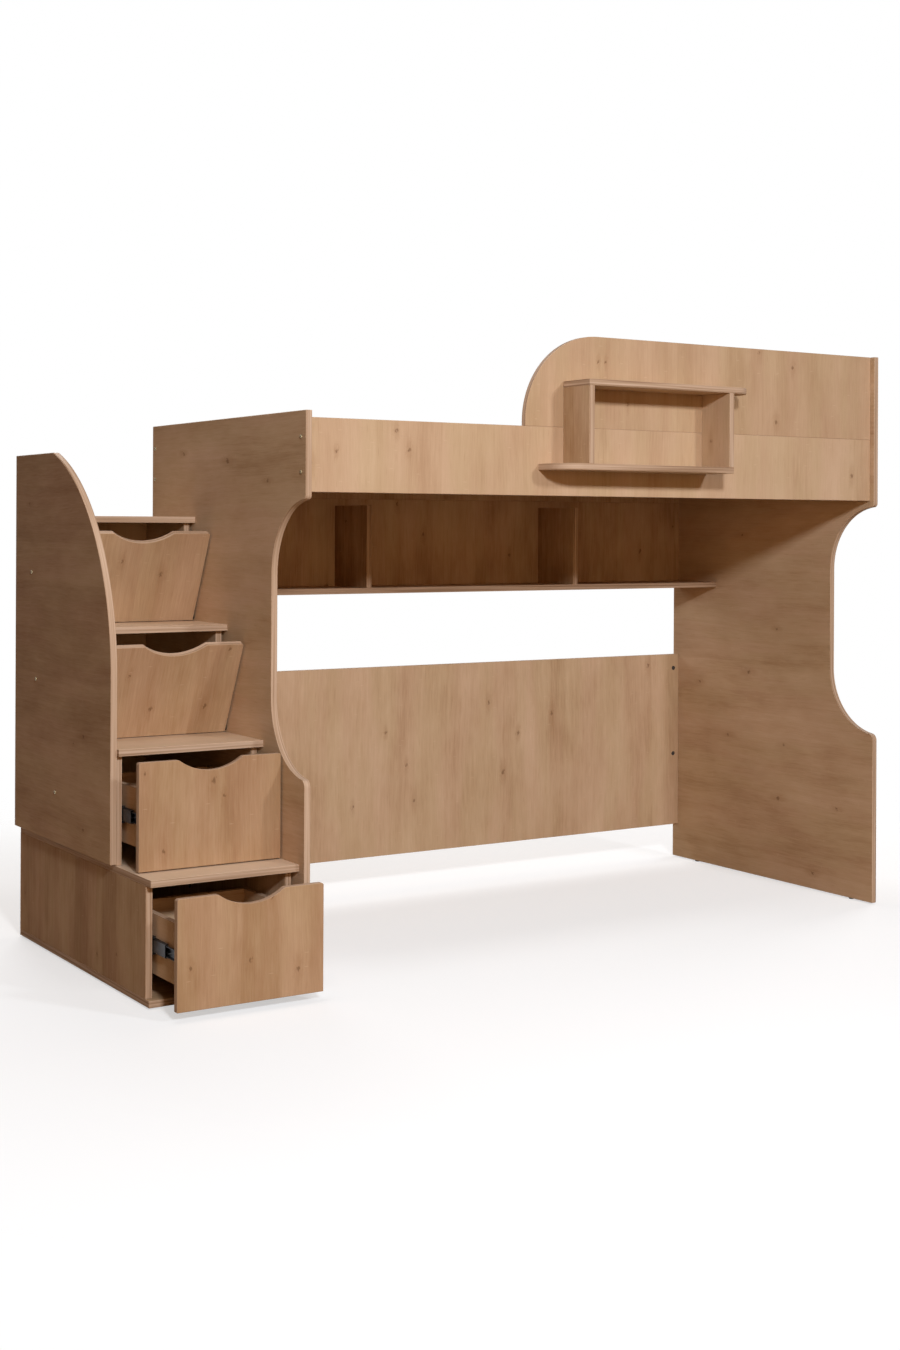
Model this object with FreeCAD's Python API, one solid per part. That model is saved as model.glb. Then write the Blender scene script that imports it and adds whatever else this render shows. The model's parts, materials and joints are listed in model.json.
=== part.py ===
import FreeCAD, Part
import math
import os

# Loft bed in laminated chipboard, with a stair of drawers and tilting bins at its left end.
# X runs along the bed, Y from the front (low) to the back (high) and Z up, in millimetres.
# While pieces are built, X is zero on the left end panel's outer face, Y on the end panels' back edges
# and Z on the undersides of the boards. The exported frame has its origin on the floor, mid-object.

# Boards, cuts and clearances
board = 18.0                      # every structural board
thin_board = 4.0                  # nailed-on stair backs
edge_ease = 1.0                   # chamfer along the edges of every banded board
overrun = 5.0                     # how far a cut runs past the face it leaves
drill_play = 0.2                  # on the radius and the depth of each drilled seat
edge_search = 0.2                 # how near a place an edge lies to be the one meant

# Bed
inner_length = 2020.0             # a 2000 mattress with room for its bedding
panel_depth = 988.0               # end panels, front edge to back edge
rail_underside = 1279.0
rail_height = 194.0
rail_setback = 17.0               # front edge of the end panels to the rail's face
back_setback = 11.4               # back edge of the end panels to the back boards
left_panel_rise = 17.0            # left end panel above the rail's top edge
guard_length = 1340.0
guard_height = 263.0
guard_straight = 13.0             # upright stretch of the guard's end, below its round corner

# Wavy cut-out in the front edge of both end panels
cutout_depth = 191.0
cutout_radius = 200.0
cutout_bottom = 535.0             # height of the lower arc's foot
cutout_top_drop = 19.0            # underside of the rail to the top of the upper arc
cutout_upper_round = 12.0
cutout_lower_round = 20.0

# Back boards and the shelf under the bed
lower_back_underside = 118.0
lower_back_height = 615.0
shelf_drop = 297.5                # underside of the rail to the underside of the shelf
shelf_depth = 205.6
left_bay = 596.0
middle_bay = 779.0
divider_top_gap = 23.0            # free height between a divider and the level of the rail

# Close-boarded base
cleat_rise = 20.0                 # underside of the rail to the underside of the cleat
cleat_height = 40.0
cleat_thickness = 25.0
slat_thickness = 18.0
slat_gap = 3.0                    # between neighbours
slat_play = 3.0                   # at each end of a slat
slat_end_gap = 5.0                # end panels to the first and the last slat
slat_count = 14

# Open bookshelf on the guard
bookshelf_inset = 131.0           # guard's left end to the box
bookshelf_rise = 71.0             # underside of the rail to the underside of the box
bookshelf_width = 528.0
bookshelf_depth = 124.0
bookshelf_side_height = 217.0
bookshelf_overhang = 85.0
bookshelf_corner = 70.0

# Stair
stair_gap = 8.0                   # right-hand sides to the bed's end panel
stair_width = 403.5
stair_setback = 12.0              # back edge of the end panels to the stair's back
first_tread = 316.0               # height of the lowest tread's top
top_tread_drop = 63.0             # underside of the rail to the highest tread's top
step_1_depth = 951.0              # tread front to the stair's back, step by step
step_2_depth = 741.6
step_3_depth = 516.7
step_4_depth = 299.0
base_nosing = 9.0                 # lowest tread in front of its closed drawer
front_gap = 4.0                   # closed fronts to the edges of the sides

# Outer stair panel
outer_panel_rise = 174.0          # above the top tread
outer_panel_gap = 4.0             # lowest tread to its lower edge
outer_panel_width = 730.0
outer_panel_top = 301.5           # level top edge, before the long arc
outer_panel_arc_height = 590.0

# Drawer fronts and tilting fronts
front_left_gap = 8.5              # to the stair's outer panel
front_right_gap = 5.0             # to the bed's end panel
drawer_bottom_gap = 3.0
drawer_top_gap = 4.0
notch_width = 180.0
notch_depth = 30.0
notch_round = 8.0                 # shoulders of the finger notch
front_corner = 6.0

# Drawer boxes
drawer_board = 16.0
drawer_length = 350.0
drawer_height = 150.0
drawer_rise = 52.0                # lower edge of the front to the lower edge of the box
drawer_bottom_board = 3.0
groove_depth = 8.0
groove_rise = 12.0
groove_play = 0.3
drawer_1_open = 150.0             # as the drawers stand
drawer_2_open = 112.0

# Telescopic slides
slide_gap = 12.7                  # stair side to drawer side
slide_height = 45.0
slide_length = 350.0
slide_steel = 1.2
slide_play = 0.4
slide_setback = 2.0               # front edge of the stair side to the slide

# Tilting fronts, their pivots and their stays
flap_bottom_gap = 3.0
flap_top_gap = 2.0
flap_open_angle = 25.3            # degrees, as the fronts stand, against their stops
pivot_from_face = 6.0
pivot_from_bottom = 9.0
pivot_radius = 2.5
pivot_length = 8.0                # inside the front
pivot_play = 0.08
bracket_steel = 2.0
bracket_play = 0.4
bracket_height = 40.0
bracket_foot = 10.0
bracket_lip = 6.0                 # around the pivot
stay_radius = 150.0
stay_width = 12.0
stay_steel = 2.0
stay_play = 0.4
stay_offset = 3.0                 # stair side to the stay
stay_lug = 4.0                    # how far the lug stands out on each side
stay_lug_length = 10.0
stay_foot_height = 40.0
stay_foot_width = 16.0
keeper_inset = 4.0                # front edge of the stair side to the keeper
keeper_length = 16.0
keeper_wall = 6.0

# Connector bolts with barrel nuts, at the ends of the rails and the guard
bolt_radius = 3.0
bolt_head_radius = 5.5
bolt_head = 2.5
bolt_reach = 34.0                 # end of the rail to the barrel nut
bolt_spread = 92.0
bolt_tip = 8.0                    # past the barrel nut's axis
nut_radius = 5.0
nut_length = 14.0

# Bolts of the stair, each in a capped sleeve nut
stair_bolt_4_place = 136.0        # from the stair's back, in the two steps with bins
stair_bolt_3_place = 176.0
stair_bolt_inset = 36.6           # behind the slides, in the two steps with drawers
sleeve_radius = 4.5
sleeve_length = 12.0

# Cam locks
cam_radius = 7.5
cam_depth = 13.5
cam_inset = 24.0
cam_pin_radius = 3.5
cam_pin_grip = 11.0               # length in the other board
lower_cam_drop = 50.0
lower_cam_spacing = 309.0
upper_cam_spacing = 160.0
guard_cam_shares = (0.06, 0.35, 0.65, 0.94)

# Dowels, joining screws and glides
dowel_radius = 4.0
dowel_short = 12.0                # into the face of a board
dowel_long = 24.0                 # into the edge of a board
guard_dowel_shares = (0.2, 0.4, 0.6, 0.8)
dowel_shares = (0.15, 0.85)
screw_radius = 3.2
screw_length = 50.0
screw_head_radius = 5.0
screw_head = 3.0
bookshelf_screw_shares = (0.1, 0.5, 0.9)
shelf_screw_shares = (0.05, 0.2, 0.45, 0.8, 0.95)
divider_screw_shares = (0.25, 0.75)
glide_radius = 8.5
glide_height = 4.0
glide_chamfer = 1.0
glide_pin_radius = 1.5
glide_pin = 12.0
panel_glide_front = 99.0          # from the front edge
panel_glide_back = 129.0          # from the back edge
base_glide_end = 136.0
base_glide_side = 20.0

# Places along X
left_inner = board
right_inner = board + inner_length
right_outer = right_inner + board
guard_left = right_inner - guard_length
box_left = guard_left + bookshelf_inset
box_right = box_left + bookshelf_width
stair_right = -stair_gap
stair_left = stair_right - stair_width
stair_outer = stair_left - board
front_right = -front_right_gap
front_left = stair_left + front_left_gap

# Places along Y
panel_front = -panel_depth
rail_face = panel_front + rail_setback
rail_inner = rail_face + board
back_outer = -back_setback
back_inner = back_outer - board
shelf_front = back_inner - shelf_depth
bookshelf_front = rail_face - bookshelf_depth
stair_back = -stair_setback
stair_back_inner = stair_back - thin_board

# Heights
rail_top = rail_underside + rail_height
shelf_underside = rail_underside - shelf_drop
cutout_low = cutout_bottom + cutout_radius
cutout_high = rail_underside - cutout_top_drop - cutout_radius
guard_top = rail_top + guard_height
left_panel_top = rail_top + left_panel_rise
shelf_top = shelf_underside + board
divider_top = rail_underside - divider_top_gap
box_underside = rail_underside + bookshelf_rise
box_floor = box_underside + board
box_ceiling = box_floor + bookshelf_side_height
slat_underside = rail_underside + cleat_rise + cleat_height

# Steps, lowest first: depth, front edge of the sides, underside of the opening, underside of the tread
step_depths = (step_1_depth, step_2_depth, step_3_depth, step_4_depth)
nosings = [stair_back - depth for depth in step_depths]
nosing_insets = (base_nosing, 0.0, 0.0, 0.0)
front_faces = [nosing + inset for nosing, inset in zip(nosings, nosing_insets)]
side_fronts = [face + board + front_gap for face in front_faces]
tread_rise = (rail_underside - top_tread_drop - first_tread) / (len(step_depths) - 1)
tread_tops = [first_tread + step * tread_rise for step in range(len(step_depths))]
tread_undersides = [top - board for top in tread_tops]
opening_floors = [board] + tread_tops[:-1]

# Sides of the stair, as (low, high) along X
left_side = (stair_left, stair_left + board)
right_side = (stair_right - board, stair_right)

pieces = {}                       # node name to its list of solids
holes = {}                        # node name to the cutters drilled from it


def vector(x, y, z):
    return FreeCAD.Vector(x, y, z)


def block(x, y, z):
    """Box between the low and high place on each axis."""
    return Part.makeBox(x[1] - x[0], y[1] - y[0], z[1] - z[0], vector(x[0], y[0], z[0]))


def rod(radius, start, end):
    """Cylinder between two points."""
    axis = end.sub(start)
    return Part.makeCylinder(radius, axis.Length, start, axis)


def add(name, *solids):
    pieces.setdefault(name, []).extend(solids)


def add_board(name, solid):
    """Add a banded board, with all its edges broken by a small chamfer."""
    add(name, solid.makeChamfer(edge_ease, solid.Edges))


def drill(cutter, *names):
    """Take the cutter out of the named boards once they are all made."""
    for name in names:
        holes.setdefault(name, []).append(cutter)


def round_edges(shape, direction, places, radius):
    """Fillet the straight edges along a direction that pass through the given places."""
    near = [vector(*place) for place in places]
    chosen = []
    for edge in shape.Edges:
        start = edge.Vertexes[0].Point
        along = edge.Vertexes[-1].Point.sub(start)
        if edge.Curve.TypeId != "Part::GeomLine" or along.cross(direction).Length > edge_search:
            continue
        if any(place.sub(start).cross(direction).Length < edge_search for place in near):
            chosen.append(edge)
    return shape.makeFillet(radius, chosen)


def ring_sector(x, centre, radii, angles):
    """Arc-shaped bar about an X axis; angles run from straight up towards the back."""
    def point(radius, angle):
        return vector(x[0], centre[0] + radius * math.sin(angle), centre[1] + radius * math.cos(angle))
    low, high = angles
    middle = (low + high) / 2
    outer = Part.Arc(point(radii[1], low), point(radii[1], middle), point(radii[1], high)).toShape()
    inner = Part.Arc(point(radii[0], high), point(radii[0], middle), point(radii[0], low)).toShape()
    far = Part.makeLine(point(radii[1], high), point(radii[0], high))
    near = Part.makeLine(point(radii[0], low), point(radii[1], low))
    face = Part.Face(Part.Wire([outer, far, inner, near]))
    return face.extrude(vector(x[1] - x[0], 0, 0))


def end_panel(x, height):
    """Upright end of the bed: its front edge swings back in two arcs joined by a straight run."""
    panel = block(x, (panel_front, 0), (0, height))
    through = (x[0] - overrun, x[1] + overrun)
    centre = panel_front + cutout_depth - cutout_radius
    slot = block(through, (centre - cutout_radius, centre + cutout_radius), (cutout_low, cutout_high))
    for level in (cutout_low, cutout_high):
        start = vector(through[0], centre, level)
        end = vector(through[1], centre, level)
        slot = slot.fuse(rod(cutout_radius, start, end))
    panel = panel.cut(slot).removeSplitter()
    reach = math.sqrt(cutout_radius ** 2 - (panel_front - centre) ** 2)
    along = vector(1, 0, 0)
    panel = round_edges(panel, along, [(x[0], panel_front, cutout_high + reach)], cutout_upper_round)
    return round_edges(panel, along, [(x[0], panel_front, cutout_low - reach)], cutout_lower_round)


def guard_board():
    """Fall guard, flush with the rail below it, with one large round corner at the way in."""
    guard = block((guard_left, right_inner), (rail_face, rail_inner), (rail_top, guard_top))
    corner = [(guard_left, rail_face, guard_top)]
    return round_edges(guard, vector(0, 1, 0), corner, guard_height - guard_straight)


def bed_boards():
    length = (left_inner, right_inner)
    back = (back_inner, back_outer)
    add_board("left_end_panel", end_panel((0, board), left_panel_top))
    add_board("right_end_panel", end_panel((right_inner, right_outer), guard_top))
    add_board("front_rail", block(length, (rail_face, rail_inner), (rail_underside, rail_top)))
    add_board("back_rail", block(length, back, (rail_underside, rail_top)))
    add_board("guard_board", guard_board())
    lower_back_top = lower_back_underside + lower_back_height
    add_board("lower_back_panel", block(length, back, (lower_back_underside, lower_back_top)))
    add_board("upper_back_panel", block(length, back, (shelf_underside, rail_underside)))
    add_board("back_shelf", block(length, (shelf_front, back_inner), (shelf_underside, shelf_top)))
    left = left_inner + left_bay
    right = left + board + middle_bay
    for name, low in (("shelf_divider_left", left), ("shelf_divider_right", right)):
        add_board(name, block((low, low + board), (shelf_front, back_inner), (shelf_top, divider_top)))
        for share in dowel_shares:
            place = vector(low + board / 2, shelf_front + share * shelf_depth, shelf_top)
            dowel(place, vector(0, 0, 1), name, "back_shelf")
        for share in divider_screw_shares:
            level = shelf_top + share * (divider_top - shelf_top)
            screw(vector(low + board / 2, back_outer, level), vector(0, -1, 0), "upper_back_panel", name)
    for share in shelf_screw_shares:
        place = vector(left_inner + share * inner_length, back_outer, shelf_underside + board / 2)
        screw(place, vector(0, -1, 0), "upper_back_panel", "back_shelf")
    for share in dowel_shares:
        place = shelf_front + share * shelf_depth
        level = shelf_underside + board / 2
        dowel(vector(left_inner, place, level), vector(1, 0, 0), "back_shelf", "left_end_panel")
        dowel(vector(right_inner, place, level), vector(-1, 0, 0), "back_shelf", "right_end_panel")


def slatted_base():
    """Two cleats along the rails, and broad slats laid close together across them."""
    level = (rail_underside + cleat_rise, slat_underside)
    length = (left_inner, right_inner)
    add("slat_cleats", block(length, (rail_inner, rail_inner + cleat_thickness), level))
    add("slat_cleats", block(length, (back_inner - cleat_thickness, back_inner), level))
    first = left_inner + slat_end_gap
    pitch = (inner_length - 2 * slat_end_gap + slat_gap) / slat_count
    slat_width = pitch - slat_gap
    across = (rail_inner + slat_play, back_inner - slat_play)
    height = (slat_underside, slat_underside + slat_thickness)
    for slat in range(slat_count):
        low = first + slat * pitch
        add("bed_slats", block((low, low + slat_width), across, height))


def bookshelf():
    """Open box on the face of the rail and guard; its two shelves reach past it, one each way."""
    depth = (bookshelf_front, rail_face)
    low = box_left - bookshelf_overhang
    high = box_right + bookshelf_overhang
    box_top = box_ceiling + board
    bottom = block((low, box_right), depth, (box_underside, box_floor))
    top = block((box_left, high), depth, (box_ceiling, box_top))
    upright = vector(0, 0, 1)
    left_corner = [(low, bookshelf_front, box_underside)]
    right_corner = [(high, bookshelf_front, box_ceiling)]
    add_board("bookshelf_bottom", round_edges(bottom, upright, left_corner, bookshelf_corner))
    add_board("bookshelf_top", round_edges(top, upright, right_corner, bookshelf_corner))
    for name, side in (("bookshelf_left_side", box_left), ("bookshelf_right_side", box_right - board)):
        add_board(name, block((side, side + board), depth, (box_floor, box_ceiling)))
        for share in dowel_shares:
            place = bookshelf_front + share * bookshelf_depth
            dowel(vector(side + board / 2, place, box_floor), upright, name, "bookshelf_bottom")
            dowel(vector(side + board / 2, place, box_ceiling), -upright, name, "bookshelf_top")
    towards_front = vector(0, -1, 0)
    for share in bookshelf_screw_shares:
        bottom_place = vector(low + share * (box_right - low), rail_inner, box_underside + board / 2)
        top_place = vector(box_left + share * (high - box_left), rail_inner, box_ceiling + board / 2)
        screw(bottom_place, towards_front, "front_rail", "bookshelf_bottom")
        screw(top_place, towards_front, "guard_board", "bookshelf_top")


def dowel(place, inward, edge_board, face_board):
    """Wooden pin across a butt joint: long in the edge that meets the joint, short in the face."""
    start = place - inward * dowel_short
    end = place + inward * dowel_long
    add("joint_dowels", rod(dowel_radius, start, end))
    seat = rod(dowel_radius + drill_play, start - inward * drill_play, end + inward * drill_play)
    drill(seat, edge_board, face_board)


def screw(face, inward, through_board, edge_board):
    """Joining screw with its flat head sunk flush in the first board's face."""
    neck = face + inward * screw_head
    tip = face + inward * screw_length
    add("joining_screws", rod(screw_head_radius, face, neck).fuse(rod(screw_radius, neck, tip)))
    head = rod(screw_head_radius + drill_play, face - inward * overrun, neck + inward * drill_play)
    seat = rod(screw_radius + drill_play, face, tip + inward * drill_play)
    drill(head.fuse(seat), through_board)
    drill(seat, edge_board)


def panel_bolt(face, inward, nut_side, panel, rail):
    """Bolt through an end panel into the end of a rail, pulled up by a barrel nut sunk in the rail."""
    shank = board + bolt_reach
    tip = face + inward * (shank + bolt_tip)
    head = rod(bolt_head_radius, face - inward * bolt_head, face)
    add("panel_bolts", head.fuse(rod(bolt_radius, face, tip)))
    seat = rod(bolt_radius + drill_play, face - inward * overrun, tip + inward * drill_play)
    drill(seat, panel, rail)
    centre = face + inward * shank
    nut_end = centre + nut_side * (nut_length / 2)
    nut = rod(nut_radius, centre - nut_side * (nut_length / 2), nut_end)
    add("barrel_nuts", nut.cut(seat))
    blind = centre - nut_side * (nut_length / 2 + drill_play)
    drill(rod(nut_radius + drill_play, blind, centre + nut_side * (board / 2 + overrun)), rail)


def panel_bolts():
    """A pair of bolts at each end of each rail, and a pair at the guard's right end."""
    front_line = (rail_face + rail_inner) / 2
    back_line = (back_inner + back_outer) / 2
    rail_middle = (rail_underside + rail_top) / 2
    guard_middle = (rail_top + guard_top) / 2
    towards_back = vector(0, 1, 0)
    rails = ((front_line, towards_back, "front_rail"), (back_line, -towards_back, "back_rail"))
    for offset in (-bolt_spread / 2, bolt_spread / 2):
        for line, nut_side, rail in rails:
            left = vector(0, line, rail_middle + offset)
            right = vector(right_outer, line, rail_middle + offset)
            panel_bolt(left, vector(1, 0, 0), nut_side, "left_end_panel", rail)
            panel_bolt(right, vector(-1, 0, 0), nut_side, "right_end_panel", rail)
        guard_end = vector(right_outer, front_line, guard_middle + offset)
        panel_bolt(guard_end, vector(-1, 0, 0), towards_back, "right_end_panel", "guard_board")


def cam_lock(joint, inward, face_side, board_name, other_name):
    """Round cam sunk in a board's face, drawing on a pin that stands in the other board."""
    centre = joint + inward * cam_inset
    face = centre + face_side * (board / 2)
    disc = rod(cam_radius, face - face_side * cam_depth, face)
    pin_start = joint - inward * cam_pin_grip
    pin = rod(cam_pin_radius, pin_start, centre)
    seat_radius = cam_pin_radius + drill_play
    pin_seat = rod(seat_radius, pin_start - inward * drill_play, centre + inward * drill_play)
    add("cam_locks", disc.cut(pin_seat), pin)
    bottom = face - face_side * (cam_depth + drill_play)
    drill(rod(cam_radius + drill_play, bottom, face + face_side * overrun), board_name)
    drill(pin_seat, board_name, other_name)


def cam_locks():
    """Cams at both ends of the back panels, and along the seam of the guard."""
    line = (back_inner + back_outer) / 2
    lower_top = lower_back_underside + lower_back_height
    upper_middle = (shelf_underside + rail_underside) / 2
    seen = vector(0, -1, 0)
    highest = lower_top - lower_cam_drop
    levels = (
        ("lower_back_panel", highest, seen),
        ("lower_back_panel", highest - lower_cam_spacing, seen),
        ("upper_back_panel", upper_middle - upper_cam_spacing / 2, -seen),
        ("upper_back_panel", upper_middle + upper_cam_spacing / 2, -seen),
    )
    for name, level, face_side in levels:
        cam_lock(vector(left_inner, line, level), vector(1, 0, 0), face_side, name, "left_end_panel")
        cam_lock(vector(right_inner, line, level), vector(-1, 0, 0), face_side, name, "right_end_panel")
    seam = (rail_face + rail_inner) / 2
    for share in guard_cam_shares:
        place = vector(guard_left + share * guard_length, seam, rail_top)
        cam_lock(place, vector(0, 0, 1), -seen, "guard_board", "front_rail")
    for share in guard_dowel_shares:
        place = vector(guard_left + share * guard_length, seam, rail_top)
        dowel(place, vector(0, 0, 1), "guard_board", "front_rail")


def glide(x, y, board_name):
    """Nail-on glide under a board: a low plastic button on a steel pin."""
    button = rod(glide_radius, vector(x, y, -glide_height), vector(x, y, 0))
    rim = [edge for edge in button.Edges if edge.Closed and edge.CenterOfMass.z < -glide_height / 2]
    button = button.makeChamfer(glide_chamfer, rim)
    add("glides", button.fuse(rod(glide_pin_radius, vector(x, y, 0), vector(x, y, glide_pin))))
    pin_end = vector(x, y, glide_pin + drill_play)
    drill(rod(glide_pin_radius + drill_play, vector(x, y, -overrun), pin_end), board_name)


def glides():
    for name, x in (("left_end_panel", board / 2), ("right_end_panel", right_inner + board / 2)):
        glide(x, panel_front + panel_glide_front, name)
        glide(x, -panel_glide_back, name)
    for x in (stair_left + base_glide_side, stair_right - base_glide_side):
        glide(x, front_faces[0] + base_glide_end, "base_bottom_board")
        glide(x, stair_back - base_glide_end, "base_bottom_board")


def side_name(step, hand):
    return f"base_{hand}_side" if step == 0 else f"step_{step + 1}_{hand}_side"


def stair_boxes():
    """Four boxes stacked as steps: two sides, a thin back and the tread that closes each one."""
    width = (stair_left, stair_right)
    add_board("base_bottom_board", block(width, (front_faces[0], stair_back_inner), (0, board)))
    for step, nosing in enumerate(nosings):
        floor = opening_floors[step]
        ceiling = tread_undersides[step]
        depth = (side_fronts[step], stair_back_inner)
        below = "base_bottom_board" if step == 0 else f"tread_{step}"
        tread = f"tread_{step + 1}"
        add_board(tread, block((stair_left, 0), (nosing, stair_back), (ceiling, tread_tops[step])))
        for hand, span in (("left", left_side), ("right", right_side)):
            name = side_name(step, hand)
            add_board(name, block(span, depth, (floor, ceiling)))
            for share in dowel_shares:
                place = depth[1] - share * (depth[1] - depth[0])
                middle = (span[0] + span[1]) / 2
                dowel(vector(middle, place, ceiling), vector(0, 0, -1), name, tread)
                dowel(vector(middle, place, floor), vector(0, 0, 1), name, below)
        back_low = 0 if step == 0 else floor
        add("stair_backs", block(width, (stair_back_inner, stair_back), (back_low, ceiling)))


def stair_outer_panel():
    """Rounded side of the stair: a level top, one long arc and an upright front edge."""
    low = tread_tops[0] + outer_panel_gap
    high = tread_tops[-1] + outer_panel_rise
    front = stair_back - outer_panel_width
    shoulder = stair_back - outer_panel_top
    arc_foot = high - outer_panel_arc_height
    run = shoulder - front
    radius = (run ** 2 + outer_panel_arc_height ** 2) / (2 * run)
    half = math.asin(outer_panel_arc_height / radius) / 2
    centre = front + radius

    def corner(y, z):
        return vector(stair_outer, y, z)
    middle = corner(centre - radius * math.cos(half), arc_foot + radius * math.sin(half))
    arc = Part.Arc(corner(front, arc_foot), middle, corner(shoulder, high)).toShape()
    lines = [corner(shoulder, high), corner(stair_back, high), corner(stair_back, low), corner(front, low)]
    edges = Part.makePolygon(lines + [corner(front, arc_foot)]).Edges
    face = Part.Face(Part.Wire([arc] + edges))
    return face.extrude(vector(board, 0, 0))


def stair_bolt(start, end, *names):
    """Domed bolt from one face to another, with a capped sleeve nut in the far face."""
    inward = end.sub(start).normalize()
    head = rod(bolt_head_radius, start - inward * bolt_head, start)
    shank_end = end - inward * drill_play
    bolt = head.fuse(rod(bolt_radius, start, shank_end))
    mouth = end - inward * sleeve_length
    cap = rod(bolt_head_radius, end, end + inward * bolt_head)
    bore = rod(bolt_radius + drill_play, mouth - inward * overrun, end)
    nut = cap.fuse(rod(sleeve_radius, mouth, end)).cut(bore)
    add("stair_bolts", bolt, nut)
    hole = rod(bolt_radius + drill_play, start - inward * overrun, end + inward * overrun)
    sleeve_seat = rod(sleeve_radius + drill_play, mouth - inward * drill_play, end + inward * overrun)
    drill(hole.fuse(sleeve_seat), *names)


def stair_bolts():
    """The outer panel is bolted to three boxes, and all four boxes to the bed's left end panel."""
    behind_slides = side_fronts[1] + slide_setback + slide_length + stair_bolt_inset
    places = (behind_slides, behind_slides, stair_back - stair_bolt_3_place, stair_back - stair_bolt_4_place)
    for step, y in enumerate(places):
        z = (opening_floors[step] + tread_undersides[step]) / 2
        inner = vector(right_side[0], y, z)
        stair_bolt(inner, vector(left_inner, y, z), side_name(step, "right"), "left_end_panel")
        if step > 0:
            outer = vector(stair_outer, y, z)
            stair_bolt(outer, vector(left_side[1], y, z), "stair_outer_panel", side_name(step, "left"))


def notched_front(face, low, high):
    """Front board, its upper edge dipping in a shallow arc for the fingers."""
    front = block((front_left, front_right), (face, face + board), (low, high))
    radius = ((notch_width / 2) ** 2 + notch_depth ** 2) / (2 * notch_depth)
    middle = (front_left + front_right) / 2
    centre = high + radius - notch_depth
    start = vector(middle, face - overrun, centre)
    end = vector(middle, face + board + overrun, centre)
    front = front.cut(rod(radius, start, end))
    along = vector(0, 1, 0)
    shoulders = [(middle + half * notch_width / 2, face, high) for half in (-1, 1)]
    front = round_edges(front, along, shoulders, notch_round)
    corners = [(front_left, face, high), (front_right, face, high)]
    front = round_edges(front, along, corners, front_corner)
    return front.makeChamfer(edge_ease, front.Edges)


def channel(web, tip, half_height, y, z):
    """Steel channel with its web at one X place and its flanges reaching to another."""
    inner_half = half_height - slide_steel
    towards = 1 if tip > web else -1
    hollow_from = web + towards * slide_steel
    full = block(sorted((web, tip)), y, (z - half_height, z + half_height))
    hollow = block(sorted((hollow_from, tip + towards * overrun)), y, (z - inner_half, z + inner_half))
    return full.cut(hollow)


def drawer(step, opened):
    """Drawer on a pair of three-part slides, standing open by the given length."""
    name = f"drawer_{step + 1}"
    low = opening_floors[step] + drawer_bottom_gap
    high = tread_undersides[step] - drawer_top_gap
    face = front_faces[step] - opened
    back_of_front = face + board
    box_low = low + drawer_rise
    box_z = (box_low, box_low + drawer_height)
    box_y = (back_of_front, back_of_front + drawer_length)
    outer_x = (left_side[1] + slide_gap, right_side[0] - slide_gap)
    inner_x = (outer_x[0] + drawer_board, outer_x[1] - drawer_board)
    floor = box_low + groove_rise
    sheet_x = (inner_x[0] - groove_depth + groove_play, inner_x[1] + groove_depth - groove_play)
    sheet_y = (back_of_front - groove_depth + groove_play, box_y[1])
    sheet_z = (floor, floor + drawer_bottom_board)
    groove_x = (sheet_x[0] - groove_play, sheet_x[1] + groove_play)
    groove_y = (sheet_y[0] - groove_play, box_y[1] + overrun)
    groove_z = (sheet_z[0] - groove_play, sheet_z[1] + groove_play)
    groove = block(groove_x, groove_y, groove_z)
    add(f"{name}_front", notched_front(face, low, high).cut(groove))
    add(f"{name}_sides", block((outer_x[0], inner_x[0]), box_y, box_z).cut(groove))
    add(f"{name}_sides", block((inner_x[1], outer_x[1]), box_y, box_z).cut(groove))
    add(f"{name}_back", block(inner_x, (box_y[1] - drawer_board, box_y[1]), (groove_z[1], box_z[1])))
    add(f"{name}_bottom", block(sheet_x, sheet_y, sheet_z))
    slides(name, step, opened, (box_z[0] + box_z[1]) / 2)


def slides(name, step, opened, level):
    """Outer members on the stair's sides, inner ones on the drawer, and middle ones that run half as far."""
    half = slide_height / 2
    step_in = slide_steel + slide_play
    fixed = side_fronts[step] + slide_setback
    for hand, wall in ((1, left_side[1]), (-1, right_side[0])):
        drawer_face = wall + hand * slide_gap
        flange_tip = drawer_face - hand * step_in
        members = (
            ("outer", wall, flange_tip, half, 0.0),
            ("middle", wall + hand * step_in, flange_tip, half - step_in, opened / 2),
            ("inner", drawer_face, wall + hand * 2 * step_in, half - 2 * step_in, opened),
        )
        for member, web, tip, reach, travel in members:
            y = (fixed - travel, fixed - travel + slide_length)
            add(f"{name}_{member}_slides", channel(web, tip, reach, y, level))


def tilting_front(step):
    """Front that tips out about two pins near its lower edge, until a curved stay stops it."""
    name = f"flap_{step + 1}"
    low = opening_floors[step] + flap_bottom_gap
    high = tread_undersides[step] - flap_top_gap
    face = front_faces[step]
    pivot = vector(0, face + pivot_from_face, low + pivot_from_bottom)
    front = notched_front(face, low, high)
    bore_radius = pivot_radius + pivot_play
    bore_ends = ((front_left - overrun, front_left + pivot_length + drill_play),
                 (front_right - pivot_length - drill_play, front_right + overrun))
    for start, end in bore_ends:
        front = front.cut(rod(bore_radius, vector(start, pivot.y, pivot.z), vector(end, pivot.y, pivot.z)))
    stay, keeper = stay_and_keeper(step, pivot, face + board)
    tilt = vector(1, 0, 0)
    add(name, front.rotated(pivot, tilt, flap_open_angle))
    add(f"{name}_stay", stay.rotated(pivot, tilt, flap_open_angle))
    add("stay_keepers", keeper)
    for hand, end in ((1, front_left), (-1, front_right)):
        add("flap_pivots", pivot_bracket(hand, end, pivot, side_fronts[step]))


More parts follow.
